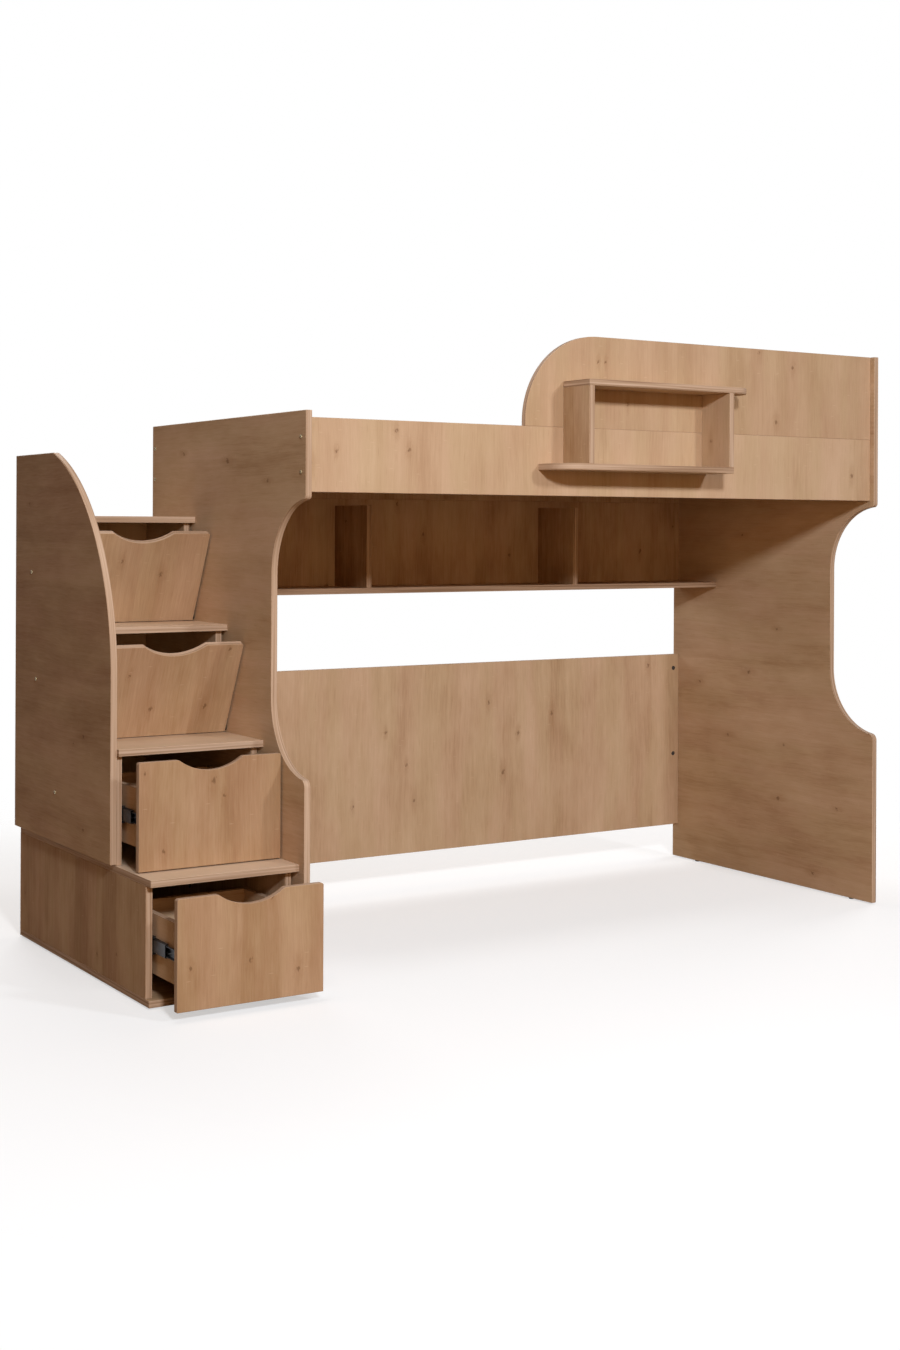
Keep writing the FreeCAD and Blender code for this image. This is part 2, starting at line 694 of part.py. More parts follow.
def pivot_bracket(hand, end, pivot, side_front):
    """Angled steel plate on the front edge of a stair side, with the pin that a front turns on."""
    near = end - hand * bracket_play
    far = near - hand * bracket_steel
    foot_end = far + hand * (bracket_steel + bracket_foot)
    cheek_y = (pivot.y - bracket_lip, side_front)
    cheek = block(sorted((far, near)), cheek_y, (pivot.z - bracket_lip, pivot.z + bracket_height))
    foot_y = (side_front - bracket_steel, side_front)
    foot = block(sorted((far, foot_end)), foot_y, (pivot.z, pivot.z + bracket_height))
    pin_end = vector(end + hand * pivot_length, pivot.y, pivot.z)
    pin = rod(pivot_radius, vector(far, pivot.y, pivot.z), pin_end)
    return cheek.fuse(foot).fuse(pin).removeSplitter()


def stay_and_keeper(step, pivot, flap_back):
    """Curved bar on the front's back face, its lug stopped by a slotted keeper on the right-hand side."""
    arm_x = (right_side[0] - stay_offset - stay_steel, right_side[0] - stay_offset)
    centre = (pivot.y, pivot.z)
    half = stay_width / 2
    foot_y = flap_back - pivot.y
    root_angle = math.asin((foot_y + stay_steel / 2) / stay_radius)
    keeper_radii = (stay_radius - half - keeper_wall, stay_radius + half + keeper_wall)
    keeper_low = math.asin((side_fronts[step] + keeper_inset - pivot.y) / keeper_radii[0])
    keeper_high = keeper_low + keeper_length / stay_radius
    lug_low = keeper_high + math.radians(flap_open_angle) + stay_play / stay_radius
    lug_high = lug_low + stay_lug_length / stay_radius
    arm = ring_sector(arm_x, centre, (stay_radius - half, stay_radius + half), (root_angle, lug_high))
    lug_radii = (stay_radius - half - stay_lug, stay_radius + half + stay_lug)
    lug = ring_sector(arm_x, centre, lug_radii, (lug_low, lug_high))
    foot_x = (arm_x[1] - stay_foot_width, arm_x[1])
    foot_z = pivot.z + stay_radius * math.cos(root_angle)
    foot_span = (foot_z - stay_foot_height / 2, foot_z + stay_foot_height / 2)
    foot = block(foot_x, (flap_back, flap_back + stay_steel), foot_span)
    stay = arm.fuse(lug).fuse(foot).removeSplitter()
    keeper_x = (arm_x[0] - stay_offset, right_side[0])
    keeper = ring_sector(keeper_x, centre, keeper_radii, (keeper_low, keeper_high))
    slot_x = (arm_x[0] - stay_play, arm_x[1] + stay_play)
    slot_radii = (stay_radius - half - stay_play, stay_radius + half + stay_play)
    slot = ring_sector(slot_x, centre, slot_radii, (keeper_low - stay_lug / stay_radius, lug_low))
    return stay, keeper.cut(slot)


bed_boards()
slatted_base()
bookshelf()
panel_bolts()
cam_locks()
stair_boxes()
add_board("stair_outer_panel", stair_outer_panel())
stair_bolts()
glides()
drawer(0, drawer_1_open)
drawer(1, drawer_2_open)
tilting_front(2)
tilting_front(3)

for name, cutters in holes.items():
    pieces[name] = [solid.cut(cutters) for solid in pieces[name]]

# Floor-level middle of the whole object, bolt heads and open drawers included
reach_left = stair_outer - bolt_head
reach_right = right_outer + bolt_head
reach_front = min(bookshelf_front, front_faces[0] - drawer_1_open)
origin = vector((reach_left + reach_right) / 2, reach_front / 2, -glide_height)

os.makedirs("parts", exist_ok=True)
for name, solids in pieces.items():
    node = solids[0] if len(solids) == 1 else Part.makeCompound(solids)
    node.translated(-origin).exportStep(f"parts/{name}.step")
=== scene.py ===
import json
import math

import bpy
import numpy as np
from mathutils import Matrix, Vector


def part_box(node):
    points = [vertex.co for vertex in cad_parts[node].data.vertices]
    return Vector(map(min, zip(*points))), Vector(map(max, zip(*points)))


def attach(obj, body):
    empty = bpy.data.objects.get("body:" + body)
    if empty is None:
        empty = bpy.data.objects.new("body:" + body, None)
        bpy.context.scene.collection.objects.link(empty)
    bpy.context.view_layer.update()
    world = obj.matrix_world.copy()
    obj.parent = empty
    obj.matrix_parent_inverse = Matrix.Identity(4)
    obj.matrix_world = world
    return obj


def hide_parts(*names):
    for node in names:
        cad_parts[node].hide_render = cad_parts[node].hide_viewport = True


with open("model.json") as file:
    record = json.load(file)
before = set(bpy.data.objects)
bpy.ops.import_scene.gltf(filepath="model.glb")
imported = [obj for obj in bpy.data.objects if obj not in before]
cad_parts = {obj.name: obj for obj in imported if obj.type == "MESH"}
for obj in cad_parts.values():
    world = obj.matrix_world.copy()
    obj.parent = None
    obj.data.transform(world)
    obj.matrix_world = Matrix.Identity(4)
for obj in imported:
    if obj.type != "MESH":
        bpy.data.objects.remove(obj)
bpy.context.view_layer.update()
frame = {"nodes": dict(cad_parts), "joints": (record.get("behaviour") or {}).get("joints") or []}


# End panels: two upright 18 mm chipboards with a waisted outline, faced on both sides with an oak print
# whose grain lies level. A thin band is glued round every edge, a little paler than the faces.
# The print is drawn here once, as a recipe in metres, and every board of the bed is dressed with it.
class Shade:
    """One output of a material's nodes. Sums, products and comparisons of these add Math nodes to it."""

    def __init__(self, tree, output=None):
        self.tree = tree
        self.output = output

    def node(self, kind, sockets, output=0, stops=(), **settings):
        """Adds a node: its settings first, then the values or links of its sockets.

        Gives one output, or a list of outputs where several are named."""
        made = self.tree.nodes.new(kind)
        for name, value in settings.items():
            setattr(made, name, value)
        for position, _ in stops[2:]:
            made.color_ramp.elements.new(position)
        for element, (position, colour) in zip(made.color_ramp.elements if stops else (), stops):
            element.position = position
            element.color = (*colour, 1.0)
        for name, value in sockets.items():
            if isinstance(value, Shade):
                self.tree.links.new(value.output, made.inputs[name])
            else:
                made.inputs[name].default_value = value
        if isinstance(output, tuple):
            return [Shade(self.tree, made.outputs[name]) for name in output]
        return Shade(self.tree, made.outputs[output])

    def math(self, operation, *values):
        """One Math node on the values."""
        return self.node("ShaderNodeMath", dict(enumerate(values)), operation=operation)

    def __add__(self, other):
        return self.math("ADD", self, other)

    def __sub__(self, other):
        return self.math("SUBTRACT", self, other)

    def __rsub__(self, other):
        return self.math("SUBTRACT", other, self)

    def __mul__(self, other):
        return self.math("MULTIPLY", self, other)

    def __lt__(self, other):
        return self.math("LESS_THAN", self, other)

    def __gt__(self, other):
        return self.math("GREATER_THAN", self, other)

    __radd__ = __add__
    __rmul__ = __mul__

    def least(self, other):
        """The lower of the two values."""
        return self.math("MINIMUM", self, other)

    def most(self, other):
        """The higher of the two values."""
        return self.math("MAXIMUM", self, other)

    def step(self, start, end):
        """Rises smoothly from 0 at start to 1 at end, and falls where end is the lower of the two."""
        sockets = {0: self, 1: start, 2: end}
        return self.node("ShaderNodeMapRange", sockets, interpolation_type="SMOOTHSTEP")

    def blend(self, first, second):
        """The first colour where this is 0, the second where it is 1."""
        return self.node("ShaderNodeMix", {0: self, 6: first, 7: second}, 2, data_type="RGBA")

    def ramp(self, stops):
        """The colour at this height between the stops."""
        return self.node("ShaderNodeValToRGB", {0: self}, stops=stops)

    def pair(self, other):
        """A flat vector of the two values."""
        return self.node("ShaderNodeCombineXYZ", {0: self, 1: other})

    def split(self):
        """The vector's three values."""
        return self.node("ShaderNodeSeparateXYZ", {0: self}, (0, 1, 2))

    def scaled(self, factors):
        """The vector times a factor along each axis."""
        return self.node("ShaderNodeVectorMath", {0: self, 1: factors}, operation="MULTIPLY")

    def length(self):
        """The vector's length."""
        return self.node("ShaderNodeVectorMath", {0: self}, "Value", operation="LENGTH")

    def noise(self, detail, dimensions="2D"):
        """Noise in cells of one unit, taken about zero."""
        sockets = {"Vector": self, "Scale": 1.0, "Detail": detail}
        return self.node("ShaderNodeTexNoise", sockets, noise_dimensions=dimensions) - 0.5


def streaks(across, along, cell, detail=2.0):
    """Noise drawn out along the grain, about zero: a cell is (across, along) the grain in metres."""
    return (across * (1 / cell[0])).pair(along * (1 / cell[1])).noise(detail)


MARK_CORE_SHARE, KNOT_CORE_SHARE = 0.25, 0.3


def marks(across, along, net, half, share):
    """Oval marks, at most one in each cell of a random net, 1 at the middle and 0 past the half sizes.

    net and half are (across, along) sizes in metres, and share is the part of the cells with a mark."""
    spot = (across * (1 / net[0])).pair(along * (1 / net[1]))
    centre, tint = spot.node("ShaderNodeTexVoronoi", {"Vector": spot, "Scale": 1.0}, ("Position", "Color"),
                             voronoi_dimensions="2D")
    offset = spot.node("ShaderNodeVectorMath", {0: spot, 1: centre}, operation="SUBTRACT")
    reach = offset.scaled((net[0] / half[0], net[1] / half[1], 0)).length()
    chance = tint.node("ShaderNodeSeparateColor", {0: tint})
    return reach.step(1.0, MARK_CORE_SHARE) * (chance < share)


def oval(flat, middle, half):
    """One oval mark on a flat pair of coordinates: 1 about its middle, falling to 0 at the half sizes."""
    sockets = {"Vector": flat, "Location": (*middle, 0), "Scale": (*half, 1)}
    offset = flat.node("ShaderNodeMapping", sockets, vector_type="TEXTURE")
    return offset.length().step(1.0, KNOT_CORE_SHARE)


def material_of(name, recipe, **constants):
    """A material from recipe(place), which gives colour, roughness and relief from Object coordinates.

    The relief is in metres, and the weight of a clear coat may follow it. Sockets that are the same all
    over are set from the constants."""
    material = bpy.data.materials.new(name)
    material.use_nodes = True
    tree = material.node_tree
    shader = tree.nodes["Principled BSDF"]
    place = Shade(tree).node("ShaderNodeTexCoord", {}, "Object")
    colour, roughness, relief, *coat = recipe(place)
    bump = place.node("ShaderNodeBump", {"Height": relief, "Distance": 1.0, "Strength": 1.0})
    outputs = (colour, roughness, bump, *coat)
    for socket, value in zip(("Base Color", "Roughness", "Normal", "Coat Weight"), outputs):
        tree.links.new(value.output, shader.inputs[socket])
    for socket, value in constants.items():
        shader.inputs[socket.replace("_", " ")].default_value = value
    return material


node_of = frame["nodes"]


def dress(node, material):
    """Gives a node of the frame its material."""
    node_of[node].data.materials.clear()
    node_of[node].data.materials.append(material)


def corners_of(node):
    """The corners of a node's mesh, one row each."""
    vertices = node_of[node].data.vertices
    corners = np.empty(len(vertices) * 3)
    vertices.foreach_get("co", corners)
    return corners.reshape(-1, 3)


OAK_TONES = ((0.0, (0.250, 0.127, 0.058)), (0.25, (0.375, 0.231, 0.126)), (0.5, (0.507, 0.351, 0.215)),
             (0.75, (0.592, 0.428, 0.280)), (1.0, (0.667, 0.508, 0.360)))
ROSY_TONES = ((0.0, (0.256, 0.126, 0.062)), (0.25, (0.383, 0.229, 0.130)), (0.5, (0.516, 0.346, 0.220)),
              (0.75, (0.600, 0.423, 0.286)), (1.0, (0.670, 0.503, 0.364)))
MIDDLE_TONE = 0.50
OAK_STAIN = (0.300, 0.155, 0.072, 1.0)
OAK_KNOT = (0.120, 0.056, 0.025, 1.0)
OAK_RAY = (0.700, 0.520, 0.365, 1.0)
# The print's layers: (across, along) sizes of a cell, and how much the layer adds to the tone.
STAVE_WIDTH, STAVE_WEIGHT = 0.11, 0.14
BROAD_CELL, BROAD_WEIGHT = (0.15, 0.95), 0.56
NARROW_CELL, NARROW_WEIGHT = (0.034, 0.50), 0.18
CLOUD_CELL, CLOUD_WEIGHT = (0.075, 0.17), 0.40
LINE_CELL, LINE_WEIGHT = (0.0085, 0.25), 0.24
FIBRE_CELL, FIBRE_WEIGHT = (0.0028, 0.060), 0.30
# How the grain wanders, where the print turns rosy, and how far the print moves on a board's back face.
WANDER_CELL, WANDER_REACH = (0.25, 0.60), 0.030
ROSY_CELL, ROSY_SHIFT, ROSY_EDGE = (0.11, 0.60), 4.1, 0.16
BACK_SHIFT, ALONG_SHIFT_SHARE = 2.37, 1.7
# Its marks: the net they are strewn on, their half sizes, the share of cells that have one, and their depth.
RAY_NET, RAY_HALF, RAY_SHARE, RAY_DEPTH = (0.075, 0.050), (0.0090, 0.0016), 0.35, 0.24
PORE_NET, PORE_HALF, PORE_SHARE, PORE_DEPTH = (0.030, 0.085), (0.0011, 0.0160), 0.45, 0.24
KNOT_NET, RAGGED_CELL = (0.24, 0.38), (0.0050, 0.011)
STAIN_HALF, STAIN_BEND, STAIN_DEPTH = (0.016, 0.060), 0.02, 0.20
KNOT_HALF, KNOT_BEND, KNOT_DEPTH = (0.0050, 0.0080), 0.016, 0.50


def oak(across, along, side, shift, tint, wild, strength):
    """Oak print in metres: staves, bands, clouds, lines and fibres along the grain, then the marks.

    The tone is the middle one and the tint, plus the layers, each times its weight, times strength.
    side, 0 or 1, moves the print of the back face, shift moves the whole board's, tint makes it lighter
    or darker, and wild is the share of random knots. Gives the colour, the fibres' height about zero,
    the dark marks, and a ragged noise that bends their rims."""
    wander = streaks(across, along, WANDER_CELL) * WANDER_REACH
    u = across + side * BACK_SHIFT + shift + wander
    v = along + side * BACK_SHIFT + shift * ALONG_SHIFT_SHARE
    stave = u.node("ShaderNodeTexVoronoi", {"W": u * (1 / STAVE_WIDTH), "Scale": 1.0}, "Color",
                   voronoi_dimensions="1D")
    stave = stave.node("ShaderNodeSeparateColor", {0: stave}) - 0.5
    fibre = streaks(u, v, FIBRE_CELL)
    bands = streaks(u, v, BROAD_CELL) * BROAD_WEIGHT + streaks(u, v, NARROW_CELL) * NARROW_WEIGHT
    cloud = streaks(u, v, CLOUD_CELL, detail=4.0)
    lines = streaks(u, v, LINE_CELL, detail=3.0) * LINE_WEIGHT + fibre * FIBRE_WEIGHT
    tone = MIDDLE_TONE + tint + (stave * STAVE_WEIGHT + bands + cloud * CLOUD_WEIGHT + lines) * strength
    rosy = streaks(u + ROSY_SHIFT, v, ROSY_CELL).step(-ROSY_EDGE, ROSY_EDGE)
    colour = rosy.blend(tone.ramp(OAK_TONES), tone.ramp(ROSY_TONES))
    ray = marks(u, v, RAY_NET, RAY_HALF, RAY_SHARE)
    pore = marks(u, v, PORE_NET, PORE_HALF, PORE_SHARE)
    ragged = streaks(u, v, RAGGED_CELL, detail=1.0)
    stain = marks(u + cloud * STAIN_BEND, v, KNOT_NET, STAIN_HALF, wild)
    knot = marks(u + ragged * KNOT_BEND, v, KNOT_NET, KNOT_HALF, wild)
    colour = (ray * RAY_DEPTH).blend(colour, OAK_RAY)
    colour = (pore * PORE_DEPTH).blend(colour, OAK_STAIN)
    colour = (stain * STAIN_DEPTH).blend(colour, OAK_STAIN)
    colour = (knot * KNOT_DEPTH).blend(colour, OAK_KNOT)
    return colour, fibre, pore.most(knot), ragged


X, Y, Z = 0, 1, 2
BAND_TONES = ((0.0, (0.290, 0.180, 0.110)), (0.5, (0.450, 0.305, 0.206)), (1.0, (0.560, 0.405, 0.292)))
BAND_TONE, BAND_LINE_CELL, BAND_LINE_WEIGHT = 0.58, (0.0048, 0.50), 2.2
BAND_START, BAND_FULL = 0.0002, 0.0008
OAK_GLOSS, OAK_COAT_ROUGHNESS = 0.01, 0.42
OAK_ROUGHNESS, FIBRE_ROUGHNESS, MARK_ROUGHNESS, BAND_SMOOTHNESS = 0.46, 0.16, 0.10, 0.05
FIBRE_RELIEF, MARK_RELIEF = 0.00010, 0.00008
# Knots given in a list: (across, along) half sizes as shares of the radius, their depths, and how far a
# ragged rim strays.
PLACED_STAIN_SHARES, PLACED_STAIN_DEPTH = (2.2, 7.0), 0.24
PLACED_CORE_SHARES, PLACED_CORE_DEPTH = (0.8, 1.3), 0.56
RAGGED_ACROSS, RAGGED_ALONG = 0.014, 0.010


def oak_board(node, thick, grain, shift, tint=0.0, knots=(), wild=0.5, strength=1.0, lean=None, coat=0.0,
              band=BAND_TONE):
    """Dresses a board in oak print, with the band where a point lies between its two faces.

    thick and grain are the axes of the board's thickness and of the grain. knots are (across, along,
    radius) of marks on the front or left face, placed as shares of the board's size. lean is (pivot,
    angle) of a board that is turned about the x axis, whose print turns with it, coat is the lacquer's
    weight on an upper face, and band is how light the edge band is."""
    low, high = map(np.array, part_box(node))
    if lean:
        pivot, angle = lean
        cosine, sine = math.cos(angle), math.sin(angle)
        turn = np.array([(1, 0, 0), (0, cosine, -sine), (0, sine, cosine)])
        upright = (corners_of(node) - pivot) @ turn
        low, high = upright.min(0), upright.max(0)
    across_axis = X + Y + Z - thick - grain

    def recipe(place):
        if lean:
            sockets = {"Vector": place, "Location": pivot, "Rotation": (angle, 0, 0)}
            place = place.node("ShaderNodeMapping", sockets, vector_type="TEXTURE")
        spot = place.split()
        across, along, depth = spot[across_axis], spot[grain], spot[thick]
        side = depth > (low[thick] + high[thick]) / 2
        colour, fibre, dark, ragged = oak(across, along, side, shift, tint, wild, strength)
        flat = (across + ragged * RAGGED_ACROSS).pair(along + ragged * RAGGED_ALONG)
        for across_share, along_share, radius in knots:
            middle = (low[across_axis] + (high - low)[across_axis] * across_share,
                      low[grain] + (high - low)[grain] * along_share)
            stain = oval(flat, middle, np.multiply(PLACED_STAIN_SHARES, radius)) * (1 - side)
            core = oval(flat, middle, np.multiply(PLACED_CORE_SHARES, radius)) * (1 - side)
            colour = (stain * PLACED_STAIN_DEPTH).blend(colour, OAK_STAIN)
            colour = (core * PLACED_CORE_DEPTH).blend(colour, OAK_KNOT)
            dark = dark.most(core)
        edge = (depth - low[thick]).least(high[thick] - depth).step(BAND_START, BAND_FULL)
        line = streaks(depth, along + across + shift, BAND_LINE_CELL)
        colour = edge.blend(colour, (band + line * BAND_LINE_WEIGHT).ramp(BAND_TONES))
        roughness = OAK_ROUGHNESS + fibre * FIBRE_ROUGHNESS + dark * MARK_ROUGHNESS - edge * BAND_SMOOTHNESS
        relief = fibre * FIBRE_RELIEF - dark * MARK_RELIEF
        if coat:
            return colour, roughness, relief, side * (1 - edge) * coat
        return colour, roughness, relief

    dress(node, material_of(node + "_oak", recipe, Specular_IOR_Level=OAK_GLOSS,
                            Coat_Roughness=OAK_COAT_ROUGHNESS))


oak_board("left_end_panel", X, Y, shift=5.29, tint=0.07, wild=0.2, strength=0.8, band=0.68, knots=(
    (0.92, 0.47, 0.010), (0.94, 0.77, 0.006), (0.88, 0.22, 0.007)))
oak_board("right_end_panel", X, Y, shift=4.12, tint=0.04, wild=0.2, strength=0.8, knots=(
    (0.49, 0.45, 0.006), (0.40, 0.59, 0.009), (0.37, 0.85, 0.006), (0.16, 0.44, 0.009),
    (0.16, 0.16, 0.006), (0.03, 0.27, 0.008)))


# Bed rails and guard board: 18 mm boards in the same print with the grain upright, as sheets cut crossways.
# The rails are bolted between the end panels. The guard board stands on the front rail and is rounded at
# its free corner.
oak_board("front_rail", Y, Z, shift=7.53, tint=0.02, wild=0.1, strength=0.55, knots=(
    (0.13, 0.86, 0.006), (0.15, 0.60, 0.006), (0.04, 0.55, 0.005), (0.96, 0.40, 0.008)))
oak_board("back_rail", Y, Z, shift=9.81)
# The guard's darker tint is painted shade, for the weaker light high on the bed.
oak_board("guard_board", Y, Z, shift=12.46, tint=-0.05, wild=0.1, strength=0.42, knots=(
    (0.19, 0.73, 0.005), (0.21, 0.73, 0.005), (0.75, 0.81, 0.007), (0.70, 0.16, 0.008),
    (0.27, 0.28, 0.006)))


# Panel bolts: button-head steel bolts with a hexagon socket, plated in yellow zinc. They pass through the
# end panels into the ends of the rails and the guard, where a steel barrel nut lies across each one.
MERGE_DIGITS = 6


def solids(node):
    """Lowest and highest corners of each separate solid of a node, as two arrays.

    Every corner takes the lowest number among the corners that triangles join it to, until none changes."""
    mesh = node_of[node].data
    places, same = np.unique(corners_of(node).round(MERGE_DIGITS), axis=0, return_inverse=True)
    mesh.calc_loop_triangles()
    triangles = np.empty(len(mesh.loop_triangles) * 3, int)
    mesh.loop_triangles.foreach_get("vertices", triangles)
    triangles = same.reshape(-1)[triangles].reshape(-1, 3)
    label = np.arange(len(places))
    before = None
    while before is None or (label != before).any():
        before = label.copy()
        np.minimum.at(label, triangles, label[triangles].min(1, keepdims=True))
    names = np.unique(label)
    low = np.array([places[label == name].min(0) for name in names])
    high = np.array([places[label == name].max(0) for name in names])
    return low, high


def axis_ends(low, high, axis, from_low):
    """Middles of each box's two end faces along an axis, the low one first where from_low is true."""
    starts, ends = (low + high) / 2, (low + high) / 2
    starts[:, axis] = np.where(from_low, low[:, axis], high[:, axis])
    ends[:, axis] = np.where(from_low, high[:, axis], low[:, axis])
    return starts, ends


SHARP_EDGE = math.radians(38)


def piece(name, grid, material, body, slot, *replaced):
    """A closed piece from grid[copy, ring, step, axis]: rings joined by quads, with a flat cap on both ends.

    Faces point outwards where the steps run anticlockwise as seen from the last ring."""
    copies, rings, steps = grid.shape[:3]
    ring, step = np.meshgrid(np.arange(rings - 1) * steps, np.arange(steps), indexing="ij")
    after = (step + 1) % steps
    quads = np.stack([ring + step, ring + after, ring + steps + after, ring + steps + step], -1)
    caps = np.stack([np.arange(steps)[::-1], (rings - 1) * steps + np.arange(steps)])
    first = np.arange(copies)[:, None, None] * rings * steps
    sides = (quads.reshape(-1, 4) + first).reshape(-1, 4).tolist()
    faces = sides + (caps + first).reshape(-1, steps).tolist()
    mesh = bpy.data.meshes.new(name)
    mesh.from_pydata(grid.reshape(-1, 3), [], faces)
    mesh.polygons.foreach_set("use_smooth", np.ones(len(faces), bool))
    mesh.set_sharp_from_angle(angle=SHARP_EDGE)
    mesh.materials.append(material)
    made = bpy.data.objects.new(name, mesh)
    bpy.context.scene.collection.objects.link(made)
    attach(made, body)
    if replaced:
        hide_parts(*replaced)


def turned(starts, ends, profile, outline=np.ones_like, steps=24):
    """Turned pieces from their starts to their ends, as a grid: a profile carried round each axis.

    The profile's rows are (share, offset, radius, follow): how far along the axis, as a share of the
    length and a distance past it, how wide, and how much of the recess's outline the ring follows, from
    0 to 1."""
    share, offset, radius, follow = np.array([tuple(row) for row in profile]).T
    axis = ends - starts
    length = np.linalg.norm(axis, axis=1)[:, None]
    axis = axis / length
    first = np.roll(axis, 1, axis=1)
    second = np.cross(axis, first)
    angle = np.arange(steps) * 2 * math.pi / steps
    wide = radius[:, None] * (1 + follow[:, None] * (outline(angle) - 1))
    around = first[:, None, :] * np.cos(angle)[:, None] + second[:, None, :] * np.sin(angle)[:, None]
    along = starts[:, None, :] + axis[:, None, :] * (length * share + offset)[:, :, None]
    return along[:, :, None, :] + wide[None, :, :, None] * around[:, None, :, :]


def hexagon(angle):
    """Reach of a hexagon in each direction, with 1 to the middle of its flats."""
    return 1 / np.cos((angle + math.pi / 6) % (math.pi / 3) - math.pi / 6)


DOME_RINGS, DOME_SHARE = 7, 0.85
SOCKET_SHARE, SOCKET_FLOOR_SHARE, SOCKET_MOUTH_SHARE = 0.8, 0.7, 0.04


def button_head(rim, height, flat, shank):
    """Profile of a button-head bolt: a socket, an elliptic dome from flat to rim, and the shank."""
    turn = np.linspace(0, math.pi / 2, DOME_RINGS)
    zero = np.zeros(DOME_RINGS)
    drop = height * DOME_SHARE * (1 - np.cos(turn))
    dome = np.stack([zero, drop, flat + (rim - flat) * np.sin(turn), zero], 1)
    socket = flat * SOCKET_SHARE
    return [(0, height * SOCKET_FLOOR_SHARE, socket, 1), (0, height * SOCKET_MOUTH_SHARE, socket, 1), *dome,
            (0, height, rim, 0), (0, height, shank, 0), (1, -shank / 3, shank, 0), (1, 0, shank / 2, 0)]


def speckled(tones, patches, detail, grains, patch_weight, grain_weight, roughness, swing, relief):
    """Recipe of a speckled skin: patches and fine grains, so many to the metre, about the middle tone.

    The patches also swing the roughness, and the grains stand up by the relief in metres."""
    def recipe(place):
        patch = place.scaled((patches,) * 3).noise(detail, dimensions="3D")
        grain = place.scaled((grains,) * 3).noise(detail=1.0, dimensions="3D")
        tone = MIDDLE_TONE + patch * patch_weight + grain * grain_weight
        return tone.ramp(tones), roughness + patch * swing, grain * relief
    return recipe


PLATE_TONES = ((0.0, (0.15, 0.11, 0.06)), (0.5, (0.27, 0.21, 0.12)), (1.0, (0.42, 0.35, 0.23)))
yellow_zinc = speckled(PLATE_TONES, patches=260.0, detail=2.0, grains=2600.0, patch_weight=1.4,
                       grain_weight=0.4, roughness=0.26, swing=0.2, relief=0.00003)
bolt_plate = material_of("bolt_plate", yellow_zinc, Metallic=1.0)
BOLT_RIM, BOLT_HEAD, BOLT_FLAT, BOLT_SHANK = 0.0055, 0.0025, 0.0026, 0.0030
bolt_profile = button_head(BOLT_RIM, BOLT_HEAD, BOLT_FLAT, BOLT_SHANK)
bolt_low, bolt_high = solids("panel_bolts")
bolt_starts, bolt_ends = axis_ends(bolt_low, bolt_high, X, bolt_low[:, X] < 0)
piece("panel_bolt_set", turned(bolt_starts, bolt_ends, bolt_profile, hexagon), bolt_plate, "root",
      "bolt_steel", "panel_bolts")
dress("barrel_nuts", bolt_plate)


# Back panels, shelf and dividers: printed boards on the wall side of the bed, with upright grain on the
# panels and long grain on the shelf. Cams and dowels pull the panels to the ends, and screws from behind
# hold the shelf and its dividers.
oak_board("lower_back_panel", Y, Z, shift=15.27, tint=0.05, wild=0.1, strength=0.8, knots=(
    (0.59, 0.78, 0.008), (0.62, 0.39, 0.009), (0.72, 0.70, 0.009), (0.33, 0.27, 0.006),
    (0.43, 0.47, 0.006), (0.39, 0.65, 0.005), (0.93, 0.94, 0.009), (0.65, 0.60, 0.007)))
oak_board("upper_back_panel", Y, Z, shift=18.74, wild=0.2, knots=(
    (0.41, 0.95, 0.007), (0.46, 0.62, 0.007), (0.63, 0.38, 0.007), (0.91, 0.42, 0.008)))
# The shelf and its dividers stand in the shade under the bed: their darker tints and darker edge bands are
# painted shade.
oak_board("back_shelf", Z, X, shift=21.39, tint=-0.10, band=0.30)
oak_board("shelf_divider_left", X, Z, shift=23.14, tint=-0.32, band=0.40)
oak_board("shelf_divider_right", X, Z, shift=24.66, tint=-0.26, band=0.40)


# Cam locks and joining screws: dark die-cast cams with a cross recess, let into the faces of the back panels
# and the guard, each on a steel pin, and flush countersunk screws with a cross recess driven from behind.
CROSS_INNER_SHARE, CROSS_SHARPNESS = 0.3, 8


def cross(angle):
    """Reach of a four-armed recess: a high power of the cosine of twice the angle, 1 at the arms' tips."""
    return CROSS_INNER_SHARE + (1 - CROSS_INNER_SHARE) * np.cos(2 * angle) ** CROSS_SHARPNESS


RECESS_STEPS = 48
CAST_TONES = ((0.0, (0.050, 0.045, 0.042)), (1.0, (0.150, 0.140, 0.130)))
die_cast = speckled(CAST_TONES, patches=420.0, detail=3.0, grains=3000.0, patch_weight=1.6,
                    grain_weight=0.5, roughness=0.50, swing=0.3, relief=0.00005)
cam_cast = material_of("cam_cast", die_cast, Metallic=0.7)
CAM_SLOT, CAM_SLOT_DEPTH, CAM_GROOVE, CAM_CHAMFER = 0.0036, 0.0018, 0.0006, 0.0003
CAM_RING_SHARES = np.array((0.72, 0.75, 0.84, 0.87, 0.96))
THICKEST_PIN, LOWER_CAMS_TOP = 0.010, 0.8
cam_low, cam_high = solids("cam_locks")
cam_size = cam_high - cam_low
is_disc = (cam_size > THICKEST_PIN).all(1)
cam_radius = cam_size[is_disc][:, X].max() / 2
faces_room = cam_low[is_disc][:, Z] < LOWER_CAMS_TOP
disc_starts, disc_ends = axis_ends(cam_low[is_disc], cam_high[is_disc], Y, faces_room)
boss, groove_inner, groove_outer, ring, face_rim = CAM_RING_SHARES * cam_radius
cam_profile = [(0, CAM_SLOT_DEPTH, CAM_SLOT, 1), (0, 0, CAM_SLOT, 1), (0, 0, boss, 0),
               (0, CAM_GROOVE, groove_inner, 0), (0, CAM_GROOVE, groove_outer, 0), (0, 0, ring, 0),
               (0, 0, face_rim, 0), (0, CAM_CHAMFER, cam_radius, 0), (1, -CAM_CHAMFER, cam_radius, 0),
               (1, 0, face_rim, 0)]
piece("cam_disc_set", turned(disc_starts, disc_ends, cam_profile, cross, RECESS_STEPS), cam_cast, "root",
      "cam_zinc", "cam_locks")

